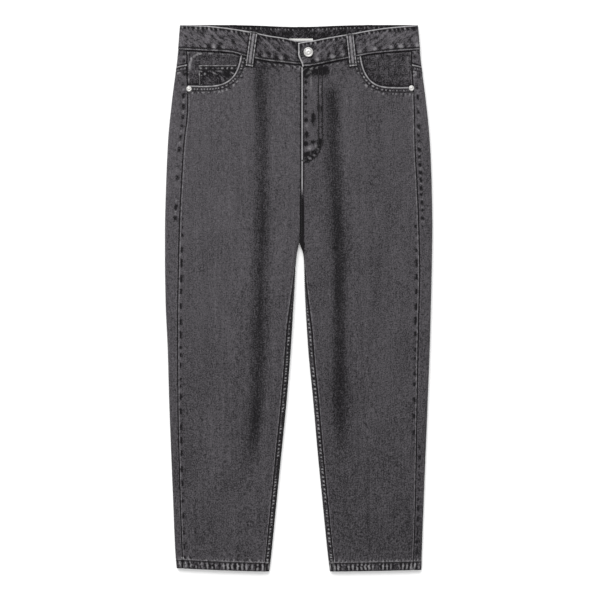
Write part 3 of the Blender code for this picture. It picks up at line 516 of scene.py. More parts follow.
    @classmethod
    def band_line(cls, side: Side, girth: Array, upper: bool) -> Array:
        """Place down of the waistband's upper edge or lower seam at a girth."""
        front = BAND_TOP[side] if upper else BAND_SEAM[side]
        extra = 0.0 if upper else BAND_HEIGHT
        down = np.full(np.shape(girth), BAND_HEIGHT)
        for _ in range(3):
            out = np.abs(cls.skin(side, girth, down)[..., 0])
            down = mix(back_waist(out) + extra, front(out), cls.is_above(girth))
        return down


@dataclass(frozen=True)
class Spots:
    """An uneven run of dark blotches and pale flecks beside a seam, where the cloth puckers."""

    gap: float
    spread: float
    pitch: float
    dark: float = 0.8
    pale: float = 0.3
    swell: float = 0.25
    lean: float = 0.0
    seed: int = 1
    span: tuple[float, float] = (-1e4, 1e4)
    fade: float = 25.0

    def measure(self, gap: Array, along: Array, down: Array) -> tuple[Array, ...]:
        """Work out the run at places beside a seam.

        Args:
            gap: distance from the seam.
            along: distance along the seam.
            down: place down the garment.

        Returns:
            Swell, pale share and dark share.
        """
        wave = ripple(along + self.lean * gap, self.pitch, self.seed)
        body = bell(gap - self.gap, self.spread)
        start, end = self.span
        body = body * ease((down - start) / self.fade) * fall(down - end, self.fade)
        dark = self.dark * ease((wave - 0.12) / 0.45) * body
        pale = self.pale * ease((-wave - 0.15) / 0.5) * body
        return -self.swell * wave * body, pale, dark


@dataclass
class SeamStrip:
    """The strip of cloth along a seam or edge: its raise, worn line, stitch rows and blotches.

    Distances are from the seam's path, which runs in girth and down. pale_at and pale give the
    worn line's distance and strength, rows the stitch rows, and shade how dark the seam is.
    """

    path: Array
    width: float = 6.0
    rise: float = 0.3
    ditch: float = 0.6
    shade: float = 0.75
    shade_width: float = 0.85
    pale_at: float = 1.7
    pale: float = 0.5
    pale_width: float = 1.0
    rows: tuple[float, ...] = ()
    row_shade: float = 0.7
    spots: tuple[Spots, ...] = ()

    def measure(self, points: Array) -> Tones:
        """Return relief, worn share and unworn share at flat points."""
        gap, along = path_distance(points, self.path)
        relief = self.rise * fall(gap - self.width, 1.8)
        relief = relief - self.ditch * bell(gap, 1.0)
        uneven = 0.8 + 0.2 * ripple(along, 16.0, 5)
        worn = self.pale * uneven * bell(gap - self.pale_at, self.pale_width)
        unworn = self.shade * bell(gap, self.shade_width)
        for row in self.rows:
            line = bell(gap - row, 0.75)
            relief = relief - 0.22 * line
            unworn = unworn + self.row_shade * line
        for run in self.spots:
            swell, pale, dark = run.measure(gap, along, points[:, 1])
            relief, worn, unworn = relief + swell, worn + pale, unworn + dark
        return relief, worn, unworn

    def row_paths(self, outline: Array) -> list[Array]:
        """Return the path of each stitch row, on the side of the seam that the cloth is."""
        trial = [inside_outline(moved_aside(self.path, way * 2.0), outline).sum() for way in (1.0, -1.0)]
        inward = 1.0 if trial[0] >= trial[1] else -1.0
        paths = [moved_aside(self.path, inward * row) for row in self.rows]
        return [path[inside_outline(path, outline)] for path in paths]


@dataclass
class Cut:
    """A flat pattern piece as points, triangles and its border ring."""

    points: Array
    triangles: Array
    border: Array


# Distances of the rows of points inside an outline and beside an inner chain
RIMS = (0.5, 1.3, 2.2, 3.2, 4.4, 5.8, 7.4, 9.3, 11.5, 14.0, 17.0)
BESIDE_CHAIN = (-3.4, -1.8, -0.8, 0.0, 0.8, 1.8, 3.4)
EDGE_PITCH = 2.4
CHAIN_CELL, CELL = 0.7, 0.75
CHAIN_CLEAR = 3.9
UNDERSIDE_MARGIN = 6.0
SPARSE_RIM = 5.0


def thinned(points: Array, cell: float) -> Array:
    """Return points with at most one left in each square cell, earlier ones first."""
    _, first = np.unique(np.round(points / cell).astype(int), axis=0, return_index=True)
    return points[np.sort(first)]


def cut_pattern(outline: Array, pitch: tuple[float, float], chains: Sequence[Array] = (),
                rims: Sequence[float] = RIMS) -> Cut:
    """Fill a closed outline with points, close together beside seams and chains.

    Args:
        outline: corners in girth and down, one a row.
        pitch: lattice spacing round the leg and down it.
        chains: inner paths that need close points.
        rims: distances from the outline that get rows of their own points.

    Returns:
        The pattern piece.
    """
    ring = resampled(np.vstack((outline, outline[:1])), EDGE_PITCH)[:-1]
    closed = np.vstack((ring, ring[:1]))
    looped = np.vstack((ring[-1:], closed))
    low, high = ring.min(axis=0), ring.max(axis=0)
    columns = np.arange(low[0], high[0] + pitch[0], pitch[0])
    below = (columns > GIRTH_FOLD_END + UNDERSIDE_MARGIN) & (columns < GIRTH_BOTTOM_END - UNDERSIDE_MARGIN)
    columns = columns[~below | (np.arange(len(columns)) % 2 == 0)]
    rows = np.arange(low[1], high[1] + pitch[1], pitch[1])
    lattice = np.stack(np.meshgrid(columns, rows), axis=-1).reshape(-1, 2)
    chains = [resampled(chain, EDGE_PITCH) for chain in chains if len(chain) > 2]
    beside = [moved_aside(chain, way) for chain in chains for way in BESIDE_CHAIN]
    parts = [thinned(np.vstack(beside), CHAIN_CELL)] if beside else []
    ways = [moved_aside(looped, way)[1:-1] for way in (2.0, -2.0)]
    way = 1.0 if inside_outline(ways[0], ring).sum() > inside_outline(ways[1], ring).sum() else -1.0
    for gap in rims:
        step = 1 if gap < SPARSE_RIM else 2
        parts.append(moved_aside(looped, way * gap)[1:-1:step])
    kept = []
    for n, spots in enumerate(parts + [lattice]):
        spots = spots[inside_outline(spots, ring)]
        gap, _ = path_distance(spots, closed)
        rim = n - (1 if beside else 0)
        least = 0.45 if rim < 0 else (rims[rim] - 0.35 if rim < len(rims) else rims[-1] + 1.5)
        spots = spots[gap > least]
        if rim >= 0 and beside and len(spots):
            clear = np.min([path_distance(spots, chain)[0] for chain in chains], axis=0)
            spots = spots[clear > CHAIN_CLEAR]
        kept.append(spots)
    flat = np.vstack((ring, thinned(np.vstack(kept), CELL)))
    edges = [(n, (n + 1) % len(ring)) for n in range(len(ring))]
    found = delaunay_2d_cdt([Vector(p) for p in flat], edges, [list(range(len(ring)))], 0, 1e-5, True)
    points = np.array([tuple(p) for p in found[0]])
    triangles = np.array([tri for tri, covers in zip(found[2], found[5]) if covers])
    renamed = {origin: n for n, origins in enumerate(found[3]) for origin in origins}
    border = np.array([renamed[n] for n in range(len(ring))])
    return Cut(points, triangles, border)


def shell_faces(triangles: Array, border: Array, count: int) -> list[tuple[int, ...]]:
    """Return faces of a closed wall whose second skin's points follow the first's."""
    faces = [tuple(tri) for tri in triangles.tolist()]
    faces += [(c + count, b + count, a + count) for a, b, c in triangles.tolist()]
    for a, b in zip(border.tolist(), np.roll(border, -1).tolist()):
        faces.append((b, a, a + count, b + count))
    return faces


def make_object(name: str, points: Array, faces: Sequence[Sequence[int]], material: bpy.types.Material,
                flip: bool = False) -> bpy.types.Object:
    """Make a smooth mesh piece that rides on the garment.

    Args:
        name: the piece's name.
        points: its points in millimetres.
        faces: its faces as point numbers.
        material: its finish.
        flip: whether its faces point in as given.

    Returns:
        The new object.
    """
    mesh = bpy.data.meshes.new(name)
    if flip:
        faces = [tuple(reversed(face)) for face in faces]
    mesh.from_pydata((points * MM).tolist(), [], faces)
    mesh.shade_smooth()
    mesh.set_sharp_from_angle(angle=math.radians(62))
    mesh.materials.append(material)
    made = bpy.data.objects.new(name, mesh)
    bpy.context.scene.collection.objects.link(made)
    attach(made, "root")
    return made


def paint(piece: bpy.types.Object, worn: Array, unworn: Array) -> None:
    """Store worn shares, and unworn shares that also carry painted shade, on a piece's points."""
    for name, values in (("worn", worn), ("unworn", unworn)):
        layer = piece.data.attributes.new(name, "FLOAT", "POINT")
        layer.data.foreach_set("value", np.asarray(values, np.float32))


class NodeTree:
    """Short way to add shader nodes and join them."""

    def __init__(self, tree: bpy.types.NodeTree) -> None:
        """Keep the tree that nodes go into."""
        self.tree = tree

    def add(self, kind: str, inputs: dict | None = None, **settings: object) -> bpy.types.Node:
        """Add a node.

        Args:
            kind: the node's Blender type.
            inputs: values or sockets for its inputs, by name or number.
            settings: properties of the node.

        Returns:
            The new node.
        """
        node = self.tree.nodes.new(kind)
        for key, value in settings.items():
            setattr(node, key, value)
        self.fill(node, inputs or {})
        return node

    def fill(self, node: bpy.types.Node, inputs: dict) -> None:
        """Set a node's inputs to values, or join them to sockets."""
        for key, value in inputs.items():
            if isinstance(value, bpy.types.NodeSocket):
                self.tree.links.new(value, node.inputs[key])
            else:
                node.inputs[key].default_value = value

    def maths(self, operation: str, *values: object, clamp: bool = False) -> bpy.types.NodeSocket:
        """Add a Math node and return its result."""
        inputs = dict(enumerate(values))
        return self.add("ShaderNodeMath", inputs, operation=operation, use_clamp=clamp).outputs[0]

    def blend(self, share: object, first: object, second: object) -> bpy.types.NodeSocket:
        """Add a colour Mix node and return its result."""
        return self.add("ShaderNodeMix", {0: share, 6: first, 7: second}, data_type="RGBA").outputs[2]

    def bump(self, strength: float, distance: float, height: object) -> bpy.types.NodeSocket:
        """Add a Bump node and return its normal."""
        inputs = {"Strength": strength, "Distance": distance, "Height": height}
        return self.add("ShaderNodeBump", inputs).outputs[0]

    def place(self) -> bpy.types.NodeSocket:
        """Add texture coordinates and return the object's own."""
        return self.add("ShaderNodeTexCoord").outputs["Object"]

    def grain(self, place: bpy.types.NodeSocket, scale: tuple[float, float, float], detail: float,
              roughness: float = 0.6) -> bpy.types.NodeSocket:
        """Add noise stretched by a scale for each axis and return its value."""
        stretch = self.add("ShaderNodeMapping", {"Vector": place, "Scale": scale})
        inputs = {"Vector": stretch.outputs[0], "Scale": 1.0, "Detail": detail, "Roughness": roughness}
        return self.add("ShaderNodeTexNoise", inputs).outputs[0]


def new_material(name: str) -> tuple[bpy.types.Material, NodeTree, bpy.types.Node]:
    """Start a material and return it with its tree and its shader."""
    made = bpy.data.materials.new(name)
    made.use_nodes = True
    return made, NodeTree(made.node_tree), made.node_tree.nodes["Principled BSDF"]


def denim_group() -> bpy.types.NodeTree:
    """Build the shared washed denim group: colour, roughness and height from wear shares and painted shade.
    """
    group = bpy.data.node_groups.new("washed_denim", "ShaderNodeTree")
    for kind, way, names in (
        ("NodeSocketColor", "INPUT", ("Dark Yarn", "Washed Yarn", "Abraded Yarn")),
        ("NodeSocketFloat", "INPUT", ("Fade", "Worn", "Unworn", "Mottle", "Scuff")),
        ("NodeSocketColor", "OUTPUT", ("Color",)),
        ("NodeSocketFloat", "OUTPUT", ("Roughness", "Height")),
    ):
        for name in names:
            group.interface.new_socket(name=name, in_out=way, socket_type=kind)
    tree = NodeTree(group)
    given = tree.add("NodeGroupInput").outputs
    place = tree.place()
    speckle = tree.grain(place, (520, 430, 430), 3.0, 0.75)
    slub = tree.grain(place, (760, 70, 300), 2.0)
    weft = tree.grain(place, (110, 900, 300), 2.0)
    streak = tree.grain(place, (150, 6, 20), 3.0, 0.7)
    cloud = tree.grain(place, (17, 11, 17), 3.0, 0.55)
    twill = tree.add("ShaderNodeTexWave", {"Vector": place, "Scale": 330.0, "Distortion": 1.2,
                                           "Detail": 1.0, "Detail Scale": 2.0},
                     wave_type="BANDS", bands_direction="DIAGONAL").outputs[1]
    total = None
    for value, strength in ((speckle, 2.0), (slub, 0.62), (weft, 0.46), (streak, 0.30), (cloud, 0.30),
                            (twill, 0.10)):
        centred = tree.maths("MULTIPLY", tree.maths("SUBTRACT", value, 0.5), strength)
        total = centred if total is None else tree.maths("ADD", total, centred)
    total = tree.maths("MULTIPLY", total, given["Mottle"])
    split = tree.add("ShaderNodeSeparateXYZ", {0: place}).outputs
    mirrored = tree.add("ShaderNodeCombineXYZ", {0: tree.maths("ABSOLUTE", split[0]), 1: split[1]})
    slant = {"Vector": mirrored.outputs[0], "Rotation": (0, 0, math.radians(-42))}
    slanting = tree.add("ShaderNodeMapping", slant).outputs[0]
    scrape = tree.grain(slanting, (95, 560, 200), 3.0, 0.7)
    scrape = tree.maths("MULTIPLY", tree.maths("SUBTRACT", scrape, 0.56), 6.5, clamp=True)
    scrape = tree.maths("MULTIPLY", scrape, given["Scuff"])
    shade = tree.maths("SUBTRACT", tree.grain(slanting, (70, 210, 120), 2.0), 0.5)
    shade = tree.maths("MULTIPLY", tree.maths("MULTIPLY", shade, given["Scuff"]), 1.6)
    total = tree.maths("ADD", total, shade)
    total = tree.maths("ADD", total, tree.maths("MULTIPLY", scrape, 0.55))
    fade = tree.maths("ADD", given["Fade"], total)
    # The unworn share here also carries painted shade, which darkens the colour.
    fade = tree.maths("SUBTRACT", fade, tree.maths("MULTIPLY", given["Unworn"], 0.85))
    fade = tree.maths("ADD", fade, tree.maths("MULTIPLY", given["Worn"], 0.5), clamp=True)
    washed = tree.blend(fade, given["Dark Yarn"], given["Washed Yarn"])
    broken = tree.maths("MULTIPLY", given["Worn"], tree.maths("ADD", speckle, 0.25))
    abraded = tree.maths("MAXIMUM", tree.maths("SUBTRACT", broken, 0.16), 0.0)
    abraded = tree.maths("SMOOTH_MIN", abraded, 1.0, 0.1)
    colour = tree.blend(abraded, washed, given["Abraded Yarn"])
    rough = tree.maths("ADD", 0.86, tree.maths("MULTIPLY", speckle, 0.1))
    height = tree.maths("ADD", tree.maths("MULTIPLY", speckle, 0.9), tree.maths("MULTIPLY", twill, 0.25))
    height = tree.maths("ADD", height, tree.maths("MULTIPLY", slub, 0.5))
    tree.add("NodeGroupOutput", {"Color": colour, "Roughness": rough, "Height": height})
    return group


@dataclass(frozen=True)
class DenimFinish:
    """A cloth finish in washed denim."""

    name: str
    fade: float = 0.5
    mottle: float = 1.0
    bump: float = 0.55
    scuff: float = 0.12
    dark: tuple[float, float, float] = (0.0070, 0.0064, 0.0074)
    washed: tuple[float, float, float] = (0.127, 0.1195, 0.130)
    abraded: tuple[float, float, float] = (0.40, 0.392, 0.40)

    def material(self, group: bpy.types.NodeTree) -> bpy.types.Material:
        """Make the material round the shared denim group."""
        made, tree, shader = new_material(self.name)
        worn, unworn = (tree.add("ShaderNodeAttribute", attribute_name=name).outputs["Fac"]
                        for name in ("worn", "unworn"))
        denim = tree.add("ShaderNodeGroup", {
            "Dark Yarn": (*self.dark, 1), "Washed Yarn": (*self.washed, 1),
            "Abraded Yarn": (*self.abraded, 1), "Fade": self.fade, "Worn": worn, "Unworn": unworn,
            "Mottle": self.mottle, "Scuff": self.scuff,
        }, node_tree=group).outputs
        tree.fill(shader, {
            "Base Color": denim["Color"], "Roughness": denim["Roughness"],
            "Normal": tree.bump(self.bump, 0.0005, denim["Height"]), "Specular IOR Level": 0.1,
            "Sheen Weight": 0.06, "Sheen Roughness": 0.5,
        })
        return made


@dataclass(frozen=True)
class ThreadFinish:
    """Sewing thread, faded unevenly along its length."""

    name: str = "sewing_thread"
    dark: tuple[float, float, float] = (0.012, 0.011, 0.012)
    pale: tuple[float, float, float] = (0.06, 0.057, 0.06)

    def material(self) -> bpy.types.Material:
        """Make the thread's material."""
        made, tree, shader = new_material(self.name)
        place = tree.place()
        patches = tree.grain(place, (90, 90, 90), 4.0, 0.8)
        share = tree.maths("MULTIPLY", tree.maths("SUBTRACT", patches, 0.42), 4.0, clamp=True)
        colour = tree.blend(share, (*self.dark, 1), (*self.pale, 1))
        twist = tree.add("ShaderNodeTexWave", {"Vector": place, "Scale": 900.0}).outputs[1]
        normal = tree.bump(0.4, 0.0002, twist)
        tree.fill(shader, {"Base Color": colour, "Normal": normal, "Roughness": 0.62})
        return made


@dataclass(frozen=True)
class MetalFinish:
    """Pale brushed metal, dulled in patches."""

    name: str
    colour: tuple[float, float, float] = (0.69, 0.68, 0.665)
    roughness: float = 0.42

    def material(self) -> bpy.types.Material:
        """Make the metal's material."""
        made, tree, shader = new_material(self.name)
        place = tree.place()
        patches = tree.grain(place, (420, 420, 420), 4.0, 0.7)
        shade = tuple(c * 0.62 for c in self.colour)
        colour = tree.blend(patches, (*shade, 1), (*self.colour, 1))
        rough = tree.maths("ADD", self.roughness - 0.1, tree.maths("MULTIPLY", patches, 0.3))
        scratches = tree.grain(place, (2600, 500, 500), 2.0)
        normal = tree.bump(0.15, 0.0001, scratches)
        tree.fill(shader, {"Base Color": colour, "Roughness": rough, "Normal": normal, "Metallic": 1.0})
        return made


@dataclass(frozen=True)
class LabelFinish:
    """Blank white woven tape."""

    name: str = "woven_label"

    def material(self) -> bpy.types.Material:
        """Make the label's material."""
        made, tree, shader = new_material(self.name)
        place = tree.place()
        inputs = {"Vector": place, "Scale": 420.0}
        ribs = tree.add("ShaderNodeTexWave", inputs, bands_direction="Y").outputs[1]
        colour = tree.blend(ribs, (0.62, 0.61, 0.59, 1), (0.82, 0.81, 0.79, 1))
        normal = tree.bump(0.3, 0.0002, ribs)
        tree.fill(shader, {"Base Color": colour, "Normal": normal, "Roughness": 0.75})
        return made


@dataclass
class Wardrobe:
    """The garment's finishes as Blender materials."""

    denim: bpy.types.Material
    facing: bpy.types.Material
    band: bpy.types.Material
    thread: bpy.types.Material
    metal: bpy.types.Material
    label: bpy.types.Material

    @classmethod
    def dyed(cls) -> "Wardrobe":
        """Make every finish."""
        group = denim_group()
        return cls(
            denim=DenimFinish("washed_black_denim").material(group),
            facing=DenimFinish("dark_facing_denim", fade=0.30, mottle=1.3, scuff=0.4).material(group),
            band=DenimFinish("waistband_denim", fade=0.47, mottle=1.2, scuff=1.3).material(group),
            thread=ThreadFinish().material(),
            metal=MetalFinish("pale_silver").material(),
            label=LabelFinish().material(),
        )


class Stitches:
    """Rows of stitches, gathered into one mesh for each piece of cloth."""

    LENGTH, PITCH, RADIUS, SIDES = 2.7, 3.5, 0.36, 5
    BAR_RADIUS, BAR_LIFT, ROW_START = 0.34, 0.35, 0.6
    STATIONS = ((0.0, 0.35, -0.9), (0.18, 0.95, 0.1), (0.82, 0.95, 0.1), (1.0, 0.35, -0.9))

    def __init__(self) -> None:
        """Start with no stitches."""
        self.points: list[Array] = []
        self.faces: list[tuple[int, ...]] = []
        self.count = 0

    def capsule(self, start: Array, end: Array, up: Array, radius: float) -> None:
        """Add one stitch, whose ends dip into the cloth.

        Args:
            start: one end.
            end: the other end.
            up: the cloth's normal.
            radius: the thread's radius.
        """
        run = end - start
        run = run / max(np.linalg.norm(run), 1e-9)
        side = np.cross(up, run)
        side /= max(np.linalg.norm(side), 1e-9)
        up = np.cross(run, side)
        rings = []
        turns = np.arange(self.SIDES) * 2 * math.pi / self.SIDES
        for share, size, lift in self.STATIONS:
            middle = start + (end - start) * share + up * lift * radius
            around = np.outer(np.cos(turns), side) + np.outer(np.sin(turns), up)
            rings.append(middle + radius * size * around)
        base = self.count
        self.points.append(np.vstack(rings))
        for n in range(len(rings) - 1):
            for k in range(self.SIDES):
                m = (k + 1) % self.SIDES
                a = base + n * self.SIDES
                b = a + self.SIDES
                self.faces.append((a + k, a + m, b + m, b + k))
        last = base + (len(rings) - 1) * self.SIDES
        self.faces.append(tuple(base + k for k in reversed(range(self.SIDES))))
        self.faces.append(tuple(last + k for k in range(self.SIDES)))
        self.count += len(rings) * self.SIDES

    def row(self, place: Place, path: Array, pitch: float = PITCH, radius: float = RADIUS) -> None:
        """Add a row of stitches along a flat path.

        Args:
            place: puts flat points on the cloth at a height above it.
            path: the row's path.
            pitch: distance between stitches.
            radius: the thread's radius.
        """
        lengths = chain_lengths(path)
        starts = np.arange(self.ROW_START, lengths[-1] - pitch, pitch)
        if not len(starts):
            return
        ends = starts + pitch * self.LENGTH / self.PITCH
        flat = chain_points(path, lengths, starts)
        low_a = place(flat, radius * 0.5)
        low_b = place(chain_points(path, lengths, ends), radius * 0.5)
        ups = place(flat, radius * 0.5 + 1.0) - low_a
        for a, b, up in zip(low_a, low_b, ups):
            self.capsule(a, b, up, radius)

    def bar(self, place: Place, start: tuple[float, float], end: tuple[float, float], width: float,
            gap: float = 0.55) -> None:
        """Add a bar tack of close cross stitches.

        Args:
            place: puts flat points on the cloth at a height above it.
            start: one end of the bar.
            end: its other end.
            width: the bar's width.
            gap: distance between its stitches.
        """
        start, end = np.array(start, float), np.array(end, float)
        run = end - start
        length = float(np.hypot(*run))
        run /= length
        across = np.array((-run[1], run[0])) * width / 2
        count = max(2, round(length / gap))
        for n in range(count + 1):
            middle = start + run * length * n / count
            low = place(np.stack((middle - across, middle + across)), self.BAR_LIFT)
            one = middle[None, :]
            up = place(one, self.BAR_LIFT + 1.0)[0] - place(one, self.BAR_LIFT)[0]
            self.capsule(low[0], low[1], up, self.BAR_RADIUS)

    def finish(self, name: str, wardrobe: Wardrobe) -> bpy.types.Object | None:
        """Make the joined mesh, if there is any stitch."""
        if not self.points:
            return None
        points = np.vstack(self.points)
        points[:, 2] = np.maximum(points[:, 2], 0.0)
        return make_object(name, points, self.faces, wardrobe.thread)


@dataclass
class ClothPiece:
    """A cloth panel cut from an outline in girth and down and laid on the drape."""

    name: str
    side: Side
    outline: Array
    strips: list[SeamStrip]
    pitch: tuple[float, float] = (4.6, 5.6)
    base: float = 0.0
    thickness: float = CLOTH
    slot: str = "denim"
    rests_on: tuple[str, ...] = ()
    hemmed: bool = False
    shade: float = 0.0
    extra: Callable[[Array], Tones] | None = None
    extra_rows: list[Array] = field(default_factory=list)
    dense: list[Array] = field(default_factory=list)
    bars: list[tuple[tuple[float, float], tuple[float, float], float]] = field(default_factory=list)

    def measure(self, points: Array) -> Tones:
        """Return the face's height above the drape, worn share and unworn share with painted shade at flat
        points.
        """
        girth, down = points.T
        above = Drape.is_above(girth)
        out = self.side.value * Drape.skin(self.side, girth, down)[:, 0]
        folds = Drape.fold_height(self.side, out, down) * above
        relief = np.zeros(len(points))
        broad_paling, broad_darkening = self.broad_tone(out, down)
        # Fold crests a little paler and fold valleys darker: partly the wash, partly painted light and
        # shade of the folds.
        worn = 0.004 * np.clip(folds, 0, 9) + broad_paling
        unworn = self.shade + 0.108 * np.clip(-folds, 0, 9) + broad_darkening
        measures = [strip.measure for strip in self.strips] + ([self.extra] if self.extra else [])
        for measure in measures:
            more, more_worn, more_unworn_and_shade = measure(points)
            relief, worn, unworn = relief + more, worn + more_worn, unworn + more_unworn_and_shade
        soft = 0.24 * crumple(girth, down, 46.0, 11) + 0.10 * crumple(girth, down, 15.0, 12)
        shown = self.base + relief + soft
        sunk = self.base - 0.42 + np.clip(relief, -0.6, 0.0) * 0.5
        fork = bell(self.side.value * out - CENTRE, 8.0) * ease((down - 312) / 20) * fall(down - 392, 20)
        return mix(sunk, shown, above) * (1.0 - ease(fork * 1.6)), worn, unworn

    def broad_tone(self, out: Array, down: Array) -> tuple[Array, Array]:
        """Return slow changes of tone: paler at the side folds, darker towards the hem and on the left leg.
        """
        edge = bell(OUTER[self.side](down) - out, 20.0)
        worn = 0.07 * edge * fall(down - 500, 300)
        unworn = mix(0.04, 0.225, np.clip((down - 200) / 740, 0, 1))
        return worn, unworn + (0.065 if self.side is Side.LEFT else 0.0)

    def place(self, points: Array, height: float) -> Array:
        """Put flat points at a height above the cloth's face."""
        return Drape.placed(self.side, *points.T, self.measure(points)[0] + height)

    def inner_offset(self, points: Array) -> Array:
        """Height of the cloth's inner face above the drape."""
        thick = self.base - self.thickness
        if not self.hemmed:
            return np.full(len(points), thick)
        return mix(thick, -HEM_THICK, ease((points[:, 1] - (LENGTH - HEM_DEPTH - 3.0)) / 3.0))

    def build(self, material: bpy.types.Material, wardrobe: Wardrobe) -> bpy.types.Object:
        """Make the panel and its stitches.

        Args:
            material: the panel's denim.
            wardrobe: the garment's finishes.

        Returns:
            The panel.
        """
        rows = [row for strip in self.strips for row in zip(strip.row_paths(self.outline), strip.rows)]
        far_rows = [path for path, gap in rows if gap > FAR_ROW]
        cut = cut_pattern(self.outline, self.pitch, self.extra_rows + far_rows + self.dense)
        relief, worn, unworn = self.measure(cut.points)
        top = Drape.placed(self.side, *cut.points.T, relief)
        low = Drape.placed(self.side, *cut.points.T, self.inner_offset(cut.points))
        top[:, 2] = np.maximum(top[:, 2], 0.0)
        faces = shell_faces(cut.triangles, cut.border, len(cut.points))
        flip = self.side is not Side.LEFT
        piece = make_object(self.name + "_cloth", np.vstack((top, low)), faces, material, flip)
        paint(piece, np.concatenate((worn, worn * 0)), np.concatenate((unworn, worn * 0 + 0.3)))
        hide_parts(self.name)
        stitches = Stitches()
        for path in [path for path, _ in rows] + self.extra_rows:
            stitches.row(self.place, path)
        for start, end, width in self.bars:
            stitches.bar(self.place, start, end, width)
        stitches.finish(self.name + "_stitching", wardrobe)
        LOG.info("%s: %d faces, %d stitches", self.name, len(faces), len(stitches.points))
        return piece


class Pattern:
    """Seam lines and outlines that neighbouring pieces share, in girth and down."""

    STEP = 4.0

    def __init__(self, side: Side) -> None:
        """Work out the seams of one side.

        Args:
            side: the wearer's side.
        """
        self.side = side
        edge = rounded(POCKET_EDGE[side], self.STEP)
        edge = edge[self.clear_of_seams(edge, 1.0, 2.0)]
        first = (edge[0, 0] - 0.5, float(BAND_SEAM[side](edge[0, 0])) + SEAM_GAP)
        last = (float(OUTSEAM[side](edge[-1, 1])) - HALF_GAP, edge[-1, 1])
        self.pocket_out = np.vstack((first, edge, last))

    def clear_of_seams(self, spots: Array, waist: float, outer: float) -> Array:
        """Return which places out and down lie clear of the waist seam and the outer seam."""
        out, down = spots.T
        return (down > BAND_SEAM[self.side](out) + waist) & (out < OUTSEAM[self.side](down) - outer)

    def above(self, spots: Array) -> Array:
        """Turn places out and down on the upper side into girth and down."""
        return np.stack((Drape.girth_above(self.side, *spots.T), spots[:, 1]), axis=1)

    def below(self, spots: Array) -> Array:
        """Turn places out and down on the underside into girth and down."""
        return np.stack((Drape.girth_below(self.side, *spots.T), spots[:, 1]), axis=1)

    def outseam(self, start: float, end: float, shift: float) -> Array:
        """Outer seam between two places down, moved aside by a shift."""
        down = np.append(np.arange(start, end, self.STEP), end)
        return self.above(np.stack((OUTSEAM[self.side](down) + shift, down), axis=1))

    def inner_seam(self, start: float, end: float, shift: float) -> Array:
        """Centre seam in the seat and inner seam below the crotch, moved by a shift."""
        down = np.append(np.arange(start, end, self.STEP), end)
        rise = np.where(down > CROTCH, INSEAM_RISE(down) + shift, 0.0)
        return np.stack((-GIRTH_INNER + np.maximum(rise, 0.0), down), axis=1)

    def waist(self, start: float, end: float) -> Array:
        """Waist seam between two distances out, on the panels' side."""
        out = np.linspace(start, end, max(2, round(abs(end - start) / self.STEP)))
        return self.above(np.stack((out, BAND_SEAM[self.side](out) + SEAM_GAP), axis=1))

    def yoke(self, shift: float) -> Array:
        """Yoke seam from the outer seam to the centre back, moved down by a shift."""
        start = float(Drape.girth_above(self.side, OUTSEAM[self.side](YOKE_SIDE), YOKE_SIDE))
        girth = np.linspace(start, GIRTH_END, 70)
        down = mix(YOKE_SIDE, YOKE_CENTRE, (girth - start) / (GIRTH_END - start)) + shift
        return np.stack((girth, down), axis=1)


@dataclass(frozen=True)
class Mark:
    """A dark (above 0) or worn (below 0) mark on the fly, placed from the centre seam."""

    across: float
    down: float
    half_width: float
    half_height: float
    tone: float


FLY_MARKS = tuple(Mark(*row) for row in (
    (8.0, 93.2, 2.6, 3.0, 1.2), (7.9, 104.4, 2.1, 2.4, 1.0), (7.9, 119.7, 1.9, 2.0, 0.75),
    (7.9, 131.4, 1.9, 2.2, 0.85), (7.9, 143.1, 1.9, 2.0, 0.65), (8.0, 156.6, 1.9, 2.2, 0.65),
    (7.9, 171.9, 2.8, 2.8, 0.8), (21.0, 169.0, 3.2, 9.0, 0.9), (32.5, 151.2, 3.6, 4.5, 0.8),
    (8.9, 198.0, 3.0, 5.5, 0.85), (7.3, 214.6, 3.8, 3.6, 1.2), (20.5, 211.5, 5.0, 2.6, 0.7),
    (32.9, 212.4, 3.2, 6.0, 0.9), (9.7, 234.0, 4.6, 4.2, 1.1), (21.4, 230.0, 4.5, 3.5, 0.8),
    (11.6, 245.0, 4.5, 3.0, 0.8), (14.2, 222.5, 4.2, 3.6, -0.45), (27.0, 218.7, 3.6, 4.0, -0.4),
    (11.8, 238.6, 1.5, 2.0, -0.4), (9.0, 182.0, 3.4, 4.5, -0.3), (17.5, 104.0, 1.3, 17.0, -0.35),
    (33.0, 116.0, 1.1, 16.0, -0.5), (24.5, 130.0, 1.2, 20.0, -0.25),
))


